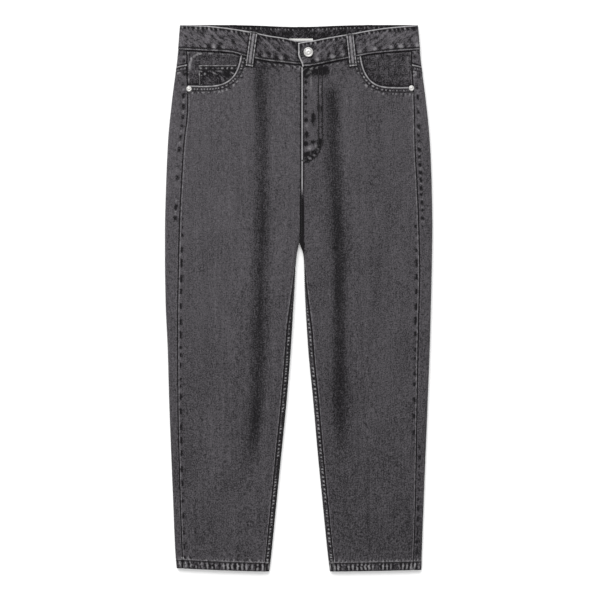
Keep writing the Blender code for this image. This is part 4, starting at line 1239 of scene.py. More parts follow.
@dataclass
class FrontLeg:
    """One front leg, with its pocket edge, hem and, on the left, the fly."""

    side: Side
    pattern: Pattern

    def fly_limit(self, down: Array) -> Array:
        """Width of the fly's J shape and of the seam below it."""
        share = np.clip((down - FLY_STRAIGHT_END) / (FLY_BOTTOM - FLY_STRAIGHT_END), 0, 1)
        return np.maximum(FLY_WIDTH * np.sqrt(1.0 - share**2), CENTRE_SEAM_WIDTH)

    def fly_path(self, inset: float) -> Array:
        """Path of the fly's J stitch, inside its outer row by an inset."""
        width = FLY_ROW - inset
        turns = np.linspace(0, math.pi / 2 * 0.93, 22)
        depth = FLY_BOTTOM - FLY_STRAIGHT_END - inset
        straight = np.arange(82.0, FLY_STRAIGHT_END, 5.0)
        out = np.concatenate((np.full(len(straight), width), width * np.cos(turns)))
        down = np.concatenate((straight, FLY_STRAIGHT_END + depth * np.sin(turns)))
        return self.pattern.above(np.stack((CENTRE + out, down), axis=1))

    def fly(self, points: Array) -> Tones:
        """Raise, puckers and wear of the fly and of the seam below it, with painted shade under the band,
        round the loop and in the crotch.
        """
        girth, down = points.T
        across = Drape.out_at(self.side, girth, down) - CENTRE
        fade = fall(down - CENTRE_SEAM_END + 20.0, 20.0)
        relief = 0.9 * fade * fall(across - self.fly_limit(down) + 1.2, 2.4)
        near = Drape.skin(self.side, girth, down)[:, 0] - CENTRE
        rows = [path_distance(points, self.fly_path(inset))[0] for inset in (0.0, FLY_ROW_INSET)]
        between, along = path_distance(points, self.fly_path(FLY_ROW_INSET / 2))
        flecks = ripple(along, 7.6, 37) * bell(between, 2.4) * (0.3 + ease((down - 208) / 16))
        worn = 1.35 * bell(near - 0.9, 1.15) * fade + 0.3 * np.clip(-flecks, 0, 1)
        unworn = 0.75 * bell(near - 3.6, 0.8) * fade + 0.95 * bell(np.minimum(*rows), 0.85)
        unworn = unworn + 0.9 * np.clip(flecks, 0, 1)
        upper = fall(down - 240, 14) * (across > 0)
        worn = worn + 0.14 * upper * bell(across - 16.0, 10.0)
        for mark in FLY_MARKS:
            blot = bell(across - mark.across, mark.half_width) * bell(down - mark.down, mark.half_height)
            relief = relief - 0.3 * mark.tone * blot
            worn, unworn = worn + max(-mark.tone, 0.0) * blot, unworn + 1.5 * max(mark.tone, 0.0) * blot
        # Painted shade just under the waistband.
        shade_under_band = bell(down - 83.5, 7.5) * fall(across - 42, 12) * ease(across / 6)
        unworn = unworn + 1.1 * shade_under_band
        unworn = unworn + (crotch_painted_shade(self.side, points) + loop_shade(self.side, across + CENTRE, down))
        return relief, worn, unworn

    def plain(self, points: Array) -> Tones:
        """Right front: painted shadow beside the fly's edge, painted shade by the loop and below the band,
        and painted shade in the crotch.
        """
        girth, down = points.T
        out = Drape.out_at(self.side, girth, down)
        # Painted shade below the waistband by the belt loop.
        shade_by_loop = bell(down - 76.0 + (out - 40) * 0.12, 9.0) * bell(out - 55, 26)
        near = CENTRE - Drape.skin(self.side, girth, down)[:, 0]
        # Painted shadow beside the raised edge of the fly.
        shadow_beside_fly = bell(near - 0.9, 1.0) * fall(down - 330, 20)
        unworn = crotch_painted_shade(self.side, points) + 0.22 * shade_by_loop + loop_shade(self.side, out, down)
        return np.zeros(len(points)), np.zeros(len(points)), unworn + 1.2 * shadow_beside_fly

    def piece(self) -> ClothPiece:
        """Return the panel with its strips and rows."""
        side, pattern = self.side, self.pattern
        pocket = pattern.above(pattern.pocket_out)
        hem_outer = float(hem_line(side, 1.0))
        waist = pattern.waist(float(INNER[side](0.0)), pattern.pocket_out[0, 0] - 2.0)
        outseam = pattern.outseam(pattern.pocket_out[-1, 1] + 1.0, hem_outer, -HALF_GAP)
        inner_end = float(pattern.inner_seam(LENGTH - 1, LENGTH, HALF_GAP)[-1, 0])
        hem_girth = np.linspace(outseam[-1, 0], inner_end, 50)
        hem = np.stack((hem_girth, hem_line(side, hem_girth / GIRTH_TOP)), axis=1)
        inner = pattern.inner_seam(float(waist[0, 1]), LENGTH, HALF_GAP)[::-1]
        outline = np.vstack((waist, pocket, outseam, hem[1:-1], inner[:-1]))
        seat = inner[inner[:, 1] < CROTCH - 8]
        legs = inner[inner[:, 1] > CROTCH + 60]
        number = int(side.value)
        last = 2000 if side is Side.RIGHT else 745
        beside = Spots(5.0, 1.9, 20.0, dark=0.95, pale=0.12, swell=0.3, seed=8 + number, span=(340, last))
        strips = [
            SeamStrip(pocket, width=POCKET_STRIP + 0.6, rise=0.5, ditch=0.3, shade=0.2, pale_at=1.2,
                      pale=1.2, pale_width=1.25, rows=(3.6, 9.0), row_shade=1.2,
                      spots=(Spots(6.3, 1.4, 4.8, 0.8, 0.9, 0.15, seed=3 + number),
                             Spots(12.2, 1.6, 6.6, 0.45, 0.7, 0.2, 0.5, seed=4 + number))),
            SeamStrip(outseam, width=4.5, rise=0.3, pale_at=1.9, pale=0.55, spots=(beside,)),
            hem_strip(hem, 14 + number),
            SeamStrip(legs, width=3.0, rise=0.1, pale_at=2.0, pale=0.5),
            SeamStrip(waist, width=3.0, rise=0.0, shade=1.3, shade_width=1.7, pale_at=4.4, pale=0.12,
                      spots=(Spots(5.0, 3.5, 9.0, 0.45, 0.4, 0.2, 1.4, seed=25 + number),
                             Spots(12.0, 5.0, 13.0, 0.2, 0.3, 0.1, 1.4, seed=27 + number))),
        ]
        made = ClothPiece(f"front_{side.label}", side, outline, strips, hemmed=True,
                          rests_on=(f"back_{side.label}_cloth", f"pocket_facing_{side.label}_cloth"))
        if side is Side.LEFT:
            made.extra = self.fly
            made.extra_rows = [self.fly_path(0.0), self.fly_path(FLY_ROW_INSET)]
            marked = np.arange(86.0, FLY_BOTTOM, 2.4)
            made.dense = [pattern.above(np.stack((np.full(len(marked), CENTRE + at), marked), axis=1))
                          for at in (8.2, 13.5, 20.5)]
            down = np.arange(80.0, CENTRE_SEAM_END, 4.0)
            made.extra_rows.append(np.stack((np.full(len(down), -GIRTH_INNER + 6.2), down), axis=1))
            low, flank = self.fly_path(4.0)[-1], self.fly_path(4.0)[14]
            made.bars = [((low[0] - 5, low[1]), (low[0] + 5, low[1] - 1), 2.4),
                         ((flank[0], flank[1] - 6), (flank[0], flank[1] + 6), 2.4)]
        else:
            made.extra = self.plain
            strips.append(SeamStrip(seat[::-1], width=4.0, rise=0.0, ditch=0.9, shade=0.9, pale_at=2.4,
                                    pale=0.1))
        corner = pattern.above(np.array([RIVETS[side]]))[0]
        made.bars.append(((corner[0] - 3, corner[1] + 8.2), (corner[0] + 6, corner[1] + 8.2), 2.0))
        return made


def hem_strip(hem: Array, seed: int) -> SeamStrip:
    """Return the strip of a turned hem, with its roping and the slanting flecks above it."""
    spots = (
        Spots(7.6, 6.2, 8.4, 0.85, 0.75, 0.35, 0.1, seed),
        Spots(4.0, 3.6, 4.2, 0.35, 0.3, 0.1, 0.1, seed + 100),
        Spots(10.5, 2.6, 4.4, 0.4, 0.3, 0.1, 0.1, seed + 300),
        Spots(HEM_DEPTH + 4.2, 2.0, 7.0, 0.35, 0.6, 0.12, 1.2, seed + 200),
    )
    return SeamStrip(hem, width=HEM_DEPTH - 0.8, rise=0.5, ditch=0.4, shade=0.6, pale_at=HEM_DEPTH + 1.7,
                     pale=0.7, rows=(HEM_DEPTH - 0.6,), row_shade=1.2, spots=spots)


def crotch_painted_shade(side: Side, points: Array) -> Array:
    """Painted deep shade in the valley at the crotch, as a share added to the unworn tone."""
    girth, down = points.T
    x = Drape.skin(side, girth, down)[:, 0]
    reach = ease((down - VALLEY_START) / 38) * fall(down - VALLEY_END, 26)
    return 1.5 * reach * fall(np.abs(x - VALLEY_MIDDLE) - VALLEY_HALF_WIDTH, 1.5)


RIVETS = {Side.RIGHT: (197.0, 116.0), Side.LEFT: (202.4, 114.6)}
FRONT_LOOPS = {
    Side.RIGHT: ((80.4, 13.6), (88.9, 75.0)),
    Side.LEFT: ((91.6, 17.0), (97.8, 75.0)),
}
LOOP_WIDTH = 13.0


def loop_shade(side: Side, out: Array, down: Array) -> Array:
    """Darker cloth round a front belt loop: partly cloth the loop kept from fading, partly painted shade
    beside the loop.
    """
    top, bottom = (np.array(spot) for spot in FRONT_LOOPS[side])
    run = (bottom - top) / np.hypot(*(bottom - top))
    away = np.stack((out - top[0], down - top[1]), axis=-1)
    along, aside = away @ run, np.abs(away @ np.array((-run[1], run[0])))
    gap = np.hypot(np.maximum(aside - LOOP_WIDTH / 2, 0), np.maximum(along - np.hypot(*(bottom - top)), 0))
    below_top = ease((along + 1.0) / 3.0)
    return (0.8 * bell(gap, 1.5) + 0.3 * bell(gap, 5.0)) * below_top


@dataclass
class BackLeg:
    """One back leg, which wraps over both folds onto the upper side, with its patch pocket."""

    side: Side
    pattern: Pattern

    def piece(self) -> ClothPiece:
        """Return the panel with its strips and rows."""
        side, pattern = self.side, self.pattern
        yoke = pattern.yoke(HALF_GAP)
        hem_outer = float(hem_line(side, 1.0))
        centre = pattern.inner_seam(YOKE_CENTRE + 2.0, LENGTH, -HALF_GAP)
        centre[:, 0] += GIRTH_END + GIRTH_INNER
        outseam = pattern.outseam(YOKE_SIDE + 2.0, hem_outer, HALF_GAP)
        hem_girth = np.linspace(centre[-1, 0], outseam[-1, 0], 110)
        share = np.where(hem_girth > GIRTH_BOTTOM_END, 0.0, (GIRTH_BOTTOM_END - hem_girth) / GIRTH_BOTTOM)
        hem = np.stack((hem_girth, hem_line(side, share)), axis=1)
        yoke[0] = (outseam[0, 0], yoke[0, 1])
        outline = np.vstack((yoke, centre, hem[1:-1], outseam[::-1]))
        legs = centre[centre[:, 1] > CROTCH + 10]
        seat = centre[centre[:, 1] < CROTCH - 6]
        number = int(side.value)
        beside = (Spots(6.6, 2.4, 17.0, 0.9, 0.4, 0.35, -0.2, seed=41 + number, span=(95, 345)),)
        if side is Side.LEFT:
            beside += (Spots(6.2, 2.2, 15.0, 0.8, 0.2, 0.3, seed=44, span=(745, 2000)),)
        strips = [
            SeamStrip(outseam, width=4.5, rise=0.1, pale_at=1.9, pale=0.28, spots=beside),
            hem_strip(hem, 47 + number),
            SeamStrip(legs, width=6.2, rise=0.4, pale_at=2.6, pale=0.3, rows=(1.4, 6.4), row_shade=0.75,
                      spots=(Spots(3.9, 1.5, 5.4, 0.9, 0.95, 0.2, 0.3, 50 + number, (495, 2000)),)),
            SeamStrip(yoke, width=11.5, rise=0.4, shade=1.2, pale_at=2.3, pale=0.95, rows=(4.3, 11.0),
                      row_shade=1.2,
                      spots=(Spots(7.4, 1.8, 6.0, 0.35, 0.5, 0.15, seed=53 + number),
                             Spots(13.4, 1.5, 14.0, 0.2, 0.55, 0.15, seed=56 + number),
                             Spots(19.0, 4.0, 15.0, 0.7, 0.4, 0.3, 0.6, seed=58 + number))),
            SeamStrip(seat, width=9.6, rise=0.4, pale_at=1.5, pale=0.7, rows=(3.2, 9.6)),
        ]
        return ClothPiece(f"back_{side.label}", side, outline, strips, pitch=(4.8, 6.0), hemmed=True,
                          rests_on=("floor",), extra=self.seam_shade)

    def seam_shade(self, points: Array) -> Tones:
        """Deep shade on the inner fold at the crotch and along the fold below it."""
        girth, down = points.T
        x = Drape.skin(self.side, girth, down)[:, 0]
        reach_in, strength = (4.2, 1.5) if self.side is Side.RIGHT else (1.6, 0.5)
        # Painted shade along the inner fold below the crotch.
        fold = bell(np.abs(x) - INNER[self.side](down), reach_in) * ease((down - 470) / 90)
        shade = crotch_painted_shade(self.side, points) + strength * fold
        return np.zeros(len(points)), np.zeros(len(points)), shade

    def pocket(self) -> ClothPiece:
        """Return the patch pocket on the underside."""
        side, pattern = self.side, self.pattern
        corners = np.array(BACK_POCKET[::-1], float)
        loop = resampled(np.vstack((corners, corners[:1])), 5.0)[:-1]
        outline = pattern.below(loop)
        closed = np.vstack((outline, outline[:1]))
        rim = SeamStrip(closed, width=7.0, rise=0.0, ditch=0.3, shade=0.3, pale_at=1.1, pale=0.9,
                        rows=(3.0, 9.3),
                        spots=(Spots(6.0, 1.6, 7.0, 0.4, 0.5, 0.1, seed=60 + int(side.value)),))
        return ClothPiece(f"back_pocket_{side.label}", side, outline, [rim], pitch=(4.0, 4.5),
                          base=POCKET_LIFT, rests_on=("floor",))

    def yoke(self) -> ClothPiece:
        """Return the back yoke, whose side end shows from above."""
        side, pattern = self.side, self.pattern
        corner = float(BAND_SEAM[side](OUTSEAM[side](BAND_HEIGHT))) + SEAM_GAP
        start = float(pattern.outseam(corner, corner + 1, HALF_GAP)[0, 0])
        girth = np.linspace(start, GIRTH_END, 90)
        top = np.stack((girth, Drape.band_line(side, girth, False) + SEAM_GAP), axis=1)
        low = pattern.yoke(-HALF_GAP)[::-1]
        centre = np.stack((np.full(14, GIRTH_END), np.linspace(top[-1, 1], low[0, 1], 16)[1:-1]), axis=1)
        outseam = pattern.outseam(corner, YOKE_SIDE - 1.0, HALF_GAP)[::-1]
        outline = np.vstack((top, centre, low[:-1], outseam[:-1]))
        number = int(side.value)
        strips = [
            SeamStrip(outseam, width=4.0, rise=0.1, pale_at=1.9, pale=0.25,
                      spots=(Spots(5.5, 3.0, 12.0, 0.6, 0.3, 0.25, seed=63 + number),)),
            SeamStrip(low, width=2.0, rise=0.0, ditch=0.5, shade=0.9, pale_at=3.4, pale=0.1),
            SeamStrip(top, width=2.0, rise=0.0, ditch=0.5, shade=0.9, pale_at=3.4, pale=0.1,
                      spots=(Spots(5.5, 3.0, 12.0, 0.5, 0.3, 0.2, seed=66 + number),)),
        ]
        return ClothPiece(f"yoke_{side.label}", side, outline, strips, rests_on=("floor",))


@dataclass
class FrontPocket:
    """The facing behind a pocket opening and, on the right, the coin pocket on it."""

    side: Side
    pattern: Pattern

    def facing(self) -> ClothPiece:
        """Return the facing, tucked under the front leg."""
        side, pattern = self.side, self.pattern
        edge = pattern.pocket_out
        tucked = moved_aside(edge, FACING_TUCK)[2:-2]
        tucked = pattern.above(tucked[pattern.clear_of_seams(tucked, 8.0, 12.0)])
        waist_end = float(OUTSEAM[side](BAND_HEIGHT)) - HALF_GAP
        waist = pattern.waist(edge[0, 0] - FACING_TUCK + 1.0, waist_end)
        low = edge[-1, 1] + FACING_TUCK - 1.0
        outseam = pattern.outseam(float(waist[-1, 1]) + 3.0, edge[-1, 1], -HALF_GAP - 0.1)
        corner = pattern.above(np.array([(float(OUTSEAM[side](low)) - 5.0, low)]))
        outline = np.vstack((waist, outseam, corner, tucked[::-1]))
        strips = [
            SeamStrip(waist, width=3.0, rise=0.0, ditch=0.3, shade=0.9, pale_at=3.6, pale=0.35),
            SeamStrip(outseam, width=4.0, rise=0.0, ditch=0.3, shade=0.7, pale_at=2.0, pale=0.4),
        ]
        return ClothPiece(f"pocket_facing_{side.label}", side, outline, strips, pitch=(3.6, 4.2),
                          base=-FACING_DROP, thickness=THIN_CLOTH, slot="dark_denim",
                          rests_on=(f"back_{side.label}_cloth",), extra=self.bag_marks)

    def bag_marks(self, points: Array) -> Tones:
        """Soft bulge of the pocket behind the facing, its worn rim and the shade by the opening."""
        gap, _ = path_distance(points, self.pattern.above(self.pattern.pocket_out))
        unworn = 0.5 * bell(gap, 3.4)
        away, _ = path_distance(points, self.pattern.above(np.array(BAG_RIM[self.side])))
        worn = (0.7 if self.side is Side.RIGHT else 0.3) * bell(away, 1.8)
        relief = 0.45 * bell(away, 4.0) + 0.35 * crumple(points[:, 0], points[:, 1], 24.0, 74)
        soft = 0.22 * crumple(points[:, 0], points[:, 1], 12.0, 73)
        return relief, worn + np.clip(soft, 0, 1), unworn + np.clip(-soft, 0, 1)

    def coin(self) -> ClothPiece:
        """Return the coin pocket."""
        side, pattern = self.side, self.pattern
        edge = rounded(POCKET_EDGE[side], 3.0)
        edge = edge[(edge[:, 0] > COIN_INNER) & (edge[:, 0] < COIN_OUTER) & (edge[:, 1] > COIN_TOP + 5)]
        edge = moved_aside(edge, -1.1)
        top = np.array([(edge[0, 0], COIN_TOP), (COIN_OUTER, COIN_TOP)])
        outer = np.array([(COIN_OUTER, COIN_TOP), (COIN_OUTER, edge[-1, 1])])
        outline = np.vstack((resampled(top, 4.0), resampled(outer, 4.0)[1:], edge[::-1][1:]))
        flat_top, flat_outer = pattern.above(resampled(top, 4.0)), pattern.above(resampled(outer, 4.0))
        strips = [
            SeamStrip(flat_top, width=9.0, rise=0.25, ditch=0.3, shade=0.5, pale_at=1.2, pale=0.9,
                      rows=(3.2, 9.0), row_shade=1.3,
                      spots=(Spots(6.1, 1.8, 6.0, 0.3, 0.9, 0.12, seed=75),
                             Spots(11.3, 1.0, 26.0, 0.0, 0.8, 0.05, seed=79),
                             Spots(15.5, 3.0, 11.0, 0.9, 0.7, 0.3, 1.2, seed=76))),
            SeamStrip(flat_outer, width=6.0, rise=0.2, ditch=0.3, shade=0.5, pale_at=1.2, pale=0.7,
                      rows=(2.4, 6.8), spots=(Spots(4.6, 1.4, 6.0, 0.3, 0.4, 0.12, seed=77),)),
        ]
        return ClothPiece("coin_pocket", side, pattern.above(outline), strips, pitch=(3.0, 3.2),
                          base=-FACING_DROP + SEAM_GAP + THIN_CLOTH, thickness=THIN_CLOTH,
                          rests_on=("pocket_facing_right_cloth",), shade=0.42)


def grid_shell(outer: Array, inner: Array) -> tuple[Array, list[tuple[int, ...]]]:
    """Join two grids of points into one closed wall.

    Args:
        outer: rows by columns by three coordinates.
        inner: the same for the inner skin.

    Returns:
        Points and faces.
    """
    rows, columns = outer.shape[:2]
    number = np.arange(rows * columns).reshape(rows, columns)
    a, b = number[:-1, :-1].ravel(), number[1:, :-1].ravel()
    c, d = number[1:, 1:].ravel(), number[:-1, 1:].ravel()
    quads = np.stack((a, b, c, d), axis=1)
    count = rows * columns
    faces = [tuple(face) for face in quads.tolist()]
    faces += [tuple(reversed([n + count for n in face])) for face in quads.tolist()]
    rim = list(number[0, :]) + list(number[1:, -1]) + list(number[-1, ::-1][1:]) + list(number[::-1, 0][1:])
    for n, m in zip(rim[:-1], rim[1:]):
        faces.append((int(n), int(m), int(m) + count, int(n) + count))
    return np.vstack((outer.reshape(-1, 3), inner.reshape(-1, 3))), faces


@dataclass(frozen=True)
class DragCrease:
    """A short slanting crease in the waistband."""

    start: tuple[float, float]
    end: tuple[float, float]
    depth: float
    width: float = 3.2


BandColumn = tuple[Side, Array, Array, Array]


@dataclass
class Waistband:
    """The folded band, its buttonhole end lapped over the underlap, its stitches and label."""

    TOP_ROW, SEAM_ROW = 3.1, 4.6
    HOLE, KEYHOLE, BUTTON = (7.2, 53.6), (5.4, 54.2), (17.3, 50.2)
    TICK_PITCH, PUCKER_PITCH = 7.6, 17.0
    ROWS = np.array((
        0, 0.5, 1.1, 1.8, 2.6, 3.5, 4.5, 5.8, 7.5, 10, 13.5, 17.5, 21.5, 25.5, 29, 32, 34.5, 36.6, 38.4,
        39.8, 40.9, 41.8, 42.6, 43.4, 44.2, 45.0,
    )) / BAND_HEIGHT
    UNDERLAP_COLUMNS = 14
    END_COLUMNS = (11.0, 9.0, 7.2, 5.6, 4.2, 3.0, 2.0, 1.1, 0.4, -0.3, -1.0)
    creases: tuple[DragCrease, ...] = tuple(DragCrease(*row) for row in (
        ((-72, 18), (-50, 62), 0.55), ((-60, 22), (-36, 66), -0.4, 4.0),
        ((-100, 14), (-112, 48), 0.4), ((-40, 30), (-22, 62), 0.35), ((62, 26), (52, 64), 0.5),
        ((76, 24), (70, 60), -0.4, 4.0), ((108, 18), (118, 52), 0.4), ((38, 34), (46, 66), 0.35),
        ((-150, 10), (-156, 44), 0.3), ((150, 12), (158, 46), 0.3),
    ))

    def columns(self) -> list[BandColumn]:
        """Return the band's columns: side, girths, downs and plain offsets of each."""
        shares, rows = self.ROWS, len(self.ROWS)
        found = []
        for across in np.linspace(CENTRE + UNDERLAP, CENTRE - 3.0, self.UNDERLAP_COLUMNS):
            found.append(self.end_column(Side.RIGHT, np.full(rows, across), shares, True))
        for side in (Side.RIGHT, Side.LEFT):
            girths = np.concatenate((
                np.arange(0, GIRTH_TOP, 2.0), np.linspace(GIRTH_TOP, GIRTH_FOLD_END, 14),
                np.arange(GIRTH_FOLD_END + 3, GIRTH_BOTTOM_END, 2.6), [GIRTH_BOTTOM_END, GIRTH_END - 4.0],
            ))
            for girth in girths if side is Side.RIGHT else girths[::-1]:
                top = float(Drape.band_line(side, np.array(girth), True))
                seam = float(Drape.band_line(side, np.array(girth), False))
                down = mix(top, seam, shares)
                line = np.full(rows, girth)
                across = Drape.skin(side, line, down)[:, 0]
                upper = girth < GIRTH_TOP
                offset = self.offset(across, Drape.is_above(line), upper and side is Side.RIGHT,
                                     upper and side is Side.LEFT)
                found.append((side, line, down, offset))
        first, last = self.END_COLUMNS[0], self.END_COLUMNS[-1]
        for place in self.END_COLUMNS:
            across = mix(first, self.end_place(shares), (first - place) / (first - last))
            found.append(self.end_column(Side.LEFT, across, shares, False))
        return found

    @staticmethod
    def end_place(shares: Array) -> Array:
        """Place across of the flap's end, from its edge to its seam."""
        return -1.0 + ease((shares - 0.45) / 0.55) * 7.4

    def end_column(self, lines: Side, across: Array, shares: Array, under: bool) -> BandColumn:
        """Return a column near one of the band's ends.

        Args:
            lines: the side whose edge and seam it follows.
            across: place across of each of its points.
            shares: how far from edge to seam each point is.
            under: whether it is on the underlap.

        Returns:
            Side, girths, downs and plain offsets.
        """
        top = float(BAND_TOP[lines](lines.value * across[0]))
        seam = float(BAND_SEAM[lines](lines.value * across[-1]))
        down = mix(top, seam, shares)
        side = Side.RIGHT if across.mean() < CENTRE else Side.LEFT
        girth = self.straight_girth(side, side.value * across, down)
        return side, girth, down, self.offset(across, np.ones(len(across)), under, not under)

    @staticmethod
    def straight_girth(side: Side, out: Array, down: Array) -> Array:
        """Girth of places on the band, which goes straight on past the inner fold."""
        near, _ = Drape.flat_span(side, down)
        return np.where(out < near, out - near, Drape.girth_above(side, np.maximum(out, near), down))

    def offset(self, across: Array, above: Array, under: bool, over: bool) -> Array:
        """Outer face of the band: sunk on the underlap, raised on the flap."""
        proud = BAND_PROUD * above
        if under:
            return mix(-UNDERLAP_DROP, proud, ease((-9.0 - across) / FLAP_SETTLE))
        if over:
            return mix(FLAP_PROUD, proud, ease((across - CENTRE - UNDERLAP - 4.0) / FLAP_SETTLE))
        return proud

    def skin_point(self, side: Side, girth: Array, down: Array, offset: Array) -> Array:
        """Put points of the band on the seat, straight across the centre line."""
        spots = Drape.placed(side, np.clip(girth, 0.0, None), down, offset)
        spots[:, 0] += side.value * np.minimum(girth, 0.0)
        return spots

    def relief(self, across: Array, down: Array, share: Array, above: Array, travel: Array) -> Array:
        """Folded edges, stitch rows, puckers and drag creases."""
        top_gap, seam_gap = share * BAND_HEIGHT, (1 - share) * BAND_HEIGHT
        total = -0.8 * bell(top_gap, 0.9) - 0.7 * bell(seam_gap, 0.9)
        for row in (top_gap - self.TOP_ROW, seam_gap - self.SEAM_ROW):
            total = total - 0.25 * bell(row, 0.8)
        waves = ripple(travel + 0.2 * top_gap, self.TICK_PITCH, 81) * bell(top_gap - 4.2, 3.0)
        puckers = ripple(travel - 0.2 * seam_gap, self.PUCKER_PITCH, 82)
        waves = waves + 1.5 * puckers * bell(seam_gap - 9.0, 6.0)
        waves = waves + 1.2 * ripple(travel + 0.35 * top_gap, 30.0, 83)
        total = total + 0.2 * waves
        flat = np.stack((across, down), axis=1)
        for crease in self.creases:
            gap, _ = path_distance(flat, np.array((crease.start, crease.end), float))
            total = total - crease.depth * bell(gap, crease.width) * above
        return np.where(above > 0.02, total * above, np.minimum(total, 0.0))

    def build(self, wardrobe: Wardrobe) -> None:
        """Make the band, its stitches, buttonhole and label."""
        columns = self.columns()
        shares, rows = self.ROWS, len(self.ROWS)
        outer, inner, tones, flats = [], [], [], []
        travel = 0.0
        before = None
        for number, (side, girth, down, offset) in enumerate(columns):
            lap = 1 if number > len(columns) - 20 else (-1 if number < self.UNDERLAP_COLUMNS + 8 else 0)
            middle = self.skin_point(side, girth, down, offset)
            travel += 0.0 if before is None else float(np.linalg.norm((middle - before)[rows // 2]))
            before = middle
            above = Drape.is_above(np.clip(girth, 0.0, None))
            relief = self.relief(middle[:, 0], down, shares, above, np.full(rows, travel))
            if lap > 0:
                relief = relief - 0.5 * bell(middle[:, 0] - self.end_place(shares), 0.7)
            outer.append(self.skin_point(side, girth, down, offset + relief))
            inner.append(self.skin_point(side, girth, down, offset - BAND_THICK))
            tones.append(self.tone(middle[:, 0], down, shares, travel, relief, lap, above))
            flats.append((side, girth, down, offset + relief))
        outer, inner = np.stack(outer, axis=1), np.stack(inner, axis=1)
        points, faces = grid_shell(outer, inner)
        piece = make_object("waistband_cloth", points, faces, wardrobe.band, True)
        worn, unworn, lining, inside_shade = (np.stack(column, axis=1).ravel() for column in zip(*tones))
        paint(piece, np.concatenate((worn, lining)), np.concatenate((unworn, inside_shade)))
        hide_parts("waistband")
        stitches = Stitches()
        for share in (self.TOP_ROW / BAND_HEIGHT, 1.0 - self.SEAM_ROW / BAND_HEIGHT):
            self.stitch_row(stitches, flats, share)
        self.end_row(stitches)
        self.buttonhole(stitches)
        stitches.finish("waistband_stitching", wardrobe)
        self.label(wardrobe)

    def tone(self, across: Array, down: Array, share: Array, travel: float,
             relief: Array, lap: int, above: Array) -> tuple[Array, ...]:
        """Work out the wear and the painted shade of one column.

        Args:
            across: place across of its points.
            down: place down of its points.
            share: how far from edge to seam each point is.
            travel: distance along the band.
            relief: height of its face.
            lap: 1 on the flap, -1 on the underlap and 0 elsewhere.
            above: 1 on the upper side and 0 underneath.

        Returns:
            Worn shares, and unworn shares that also carry painted shade, of the face, then of the lining
            side.
        """
        top_gap, seam_gap = share * BAND_HEIGHT, (1 - share) * BAND_HEIGHT
        ticks = ripple(travel + 0.2 * top_gap, self.TICK_PITCH, 81)
        puckers = ripple(travel - 0.2 * seam_gap, self.PUCKER_PITCH, 82)
        below_edge = bell(top_gap - 4.2, 2.6)
        by_seam = bell(seam_gap - 9.0, 5.0)
        worn = 1.15 * bell(top_gap - 0.9, 1.05) + 0.45 * bell(seam_gap - 2.2, 0.9)
        worn = worn + 0.6 * np.clip(-ticks, 0, 1) * below_edge + 0.5 * np.clip(-puckers, 0, 1) * by_seam
        unworn = 1.1 * bell(top_gap - self.TOP_ROW, 0.9) + 1.6 * bell(seam_gap - self.SEAM_ROW, 1.0)
        unworn = unworn + 1.1 * bell(seam_gap, 0.9) + 1.5 * ease((ticks + 0.05) / 0.35) * below_edge
        unworn = unworn + 0.6 * np.clip(puckers, 0, 1) * by_seam
        blotches = crumple(np.full(len(down), travel), down, 15.0, 85)
        worn, unworn = worn + 0.2 * np.clip(-blotches, 0, 1), unworn + 0.3 * np.clip(blotches, 0, 1)
        middle = bell(across + 32.0, 34.0) + 0.6 * bell(across - 60.0, 26.0)
        # Darker over the middle of the front, plus painted shade where the face is sunk in creases and
        # grooves.
        unworn = unworn + 0.16 * middle * above + 0.3 * np.clip(-relief - 0.3, 0, 1)
        side = Side.LEFT if across.mean() > CENTRE else Side.RIGHT
        # Painted shade, partly unfaded cloth, round the front belt loops.
        unworn = unworn + loop_shade(side, np.abs(across), down) * above
        end_gap = across - self.end_place(share)
        if lap > 0:
            worn = worn + 1.2 * bell(end_gap - 1.0, 1.4)
            unworn = unworn + 0.85 * bell(end_gap - 3.8, 0.9)
            hole = np.hypot((across - self.HOLE[0]) / 5.6, (down - self.HOLE[1]) / 4.2)
            unworn = unworn + 0.8 * bell(hole - 0.95, 0.3)
            worn = worn + 0.4 * bell(hole - 1.5, 0.25)
        elif lap < 0:
            # Painted shadow of the flap's end on the underlap.
            unworn = unworn + 1.1 * bell(end_gap, 3.0)
        lining_ticks = ripple(travel, 7.0, 84)
        lining = 0.65 * ease((lining_ticks - 0.05) / 0.5) * bell(top_gap - 5.2, 2.2)
        # The lining side is painted darker as shade inside the band, darkest at its top edge.
        inside_shade = 0.55 + 1.1 * bell(top_gap, 1.3) + 0.3 * bell(top_gap - 2.6, 1.0)
        inside_shade = inside_shade + 0.25 * ease((-lining_ticks - 0.1) / 0.5) * bell(top_gap - 5.2, 2.2)
        return worn, unworn, lining, inside_shade

    def stitch_row(self, stitches: Stitches, flats: list[BandColumn], share: float) -> None:
        """Add a stitch row all along the band at a share of its height."""
        spots, ups = [], []
        for side, girth, down, offset in flats[self.UNDERLAP_COLUMNS:]:
            *spot, height = (np.array([np.interp(share, self.ROWS, row)]) for row in (girth, down, offset))
            spots.append(self.skin_point(side, *spot, height + 0.18)[0])
            ups.append(self.skin_point(side, *spot, height + 1.18)[0] - spots[-1])
        spots, ups = np.array(spots), np.array(ups)
        lengths = chain_lengths(spots)
        for start in np.arange(1.0, lengths[-1] - 4.0, Stitches.PITCH):
            ends = (chain_points(spots, lengths, place) for place in (start, start + Stitches.LENGTH))
            stitches.capsule(*ends, chain_points(ups, lengths, start), Stitches.RADIUS)

    def flap_place(self, points: Array, height: float) -> Array:
        """Put places across and down on the flap at a height above it."""
        out, down = points.T
        girth = self.straight_girth(Side.LEFT, out, down)
        offset = self.offset(out, np.ones(len(points)), False, True)
        return self.skin_point(Side.LEFT, girth, down, offset + height)

    def end_row(self, stitches: Stitches) -> None:
        """Add the stitches down the flap's end."""
        shares = np.linspace(0.1, 0.9, 14)
        top, seam = float(BAND_TOP[Side.LEFT](2.0)), float(BAND_SEAM[Side.LEFT](6.0))
        path = np.stack((self.end_place(shares) + 3.4, mix(top, seam, shares)), axis=1)
        stitches.row(self.flap_place, resampled(path, 2.0))

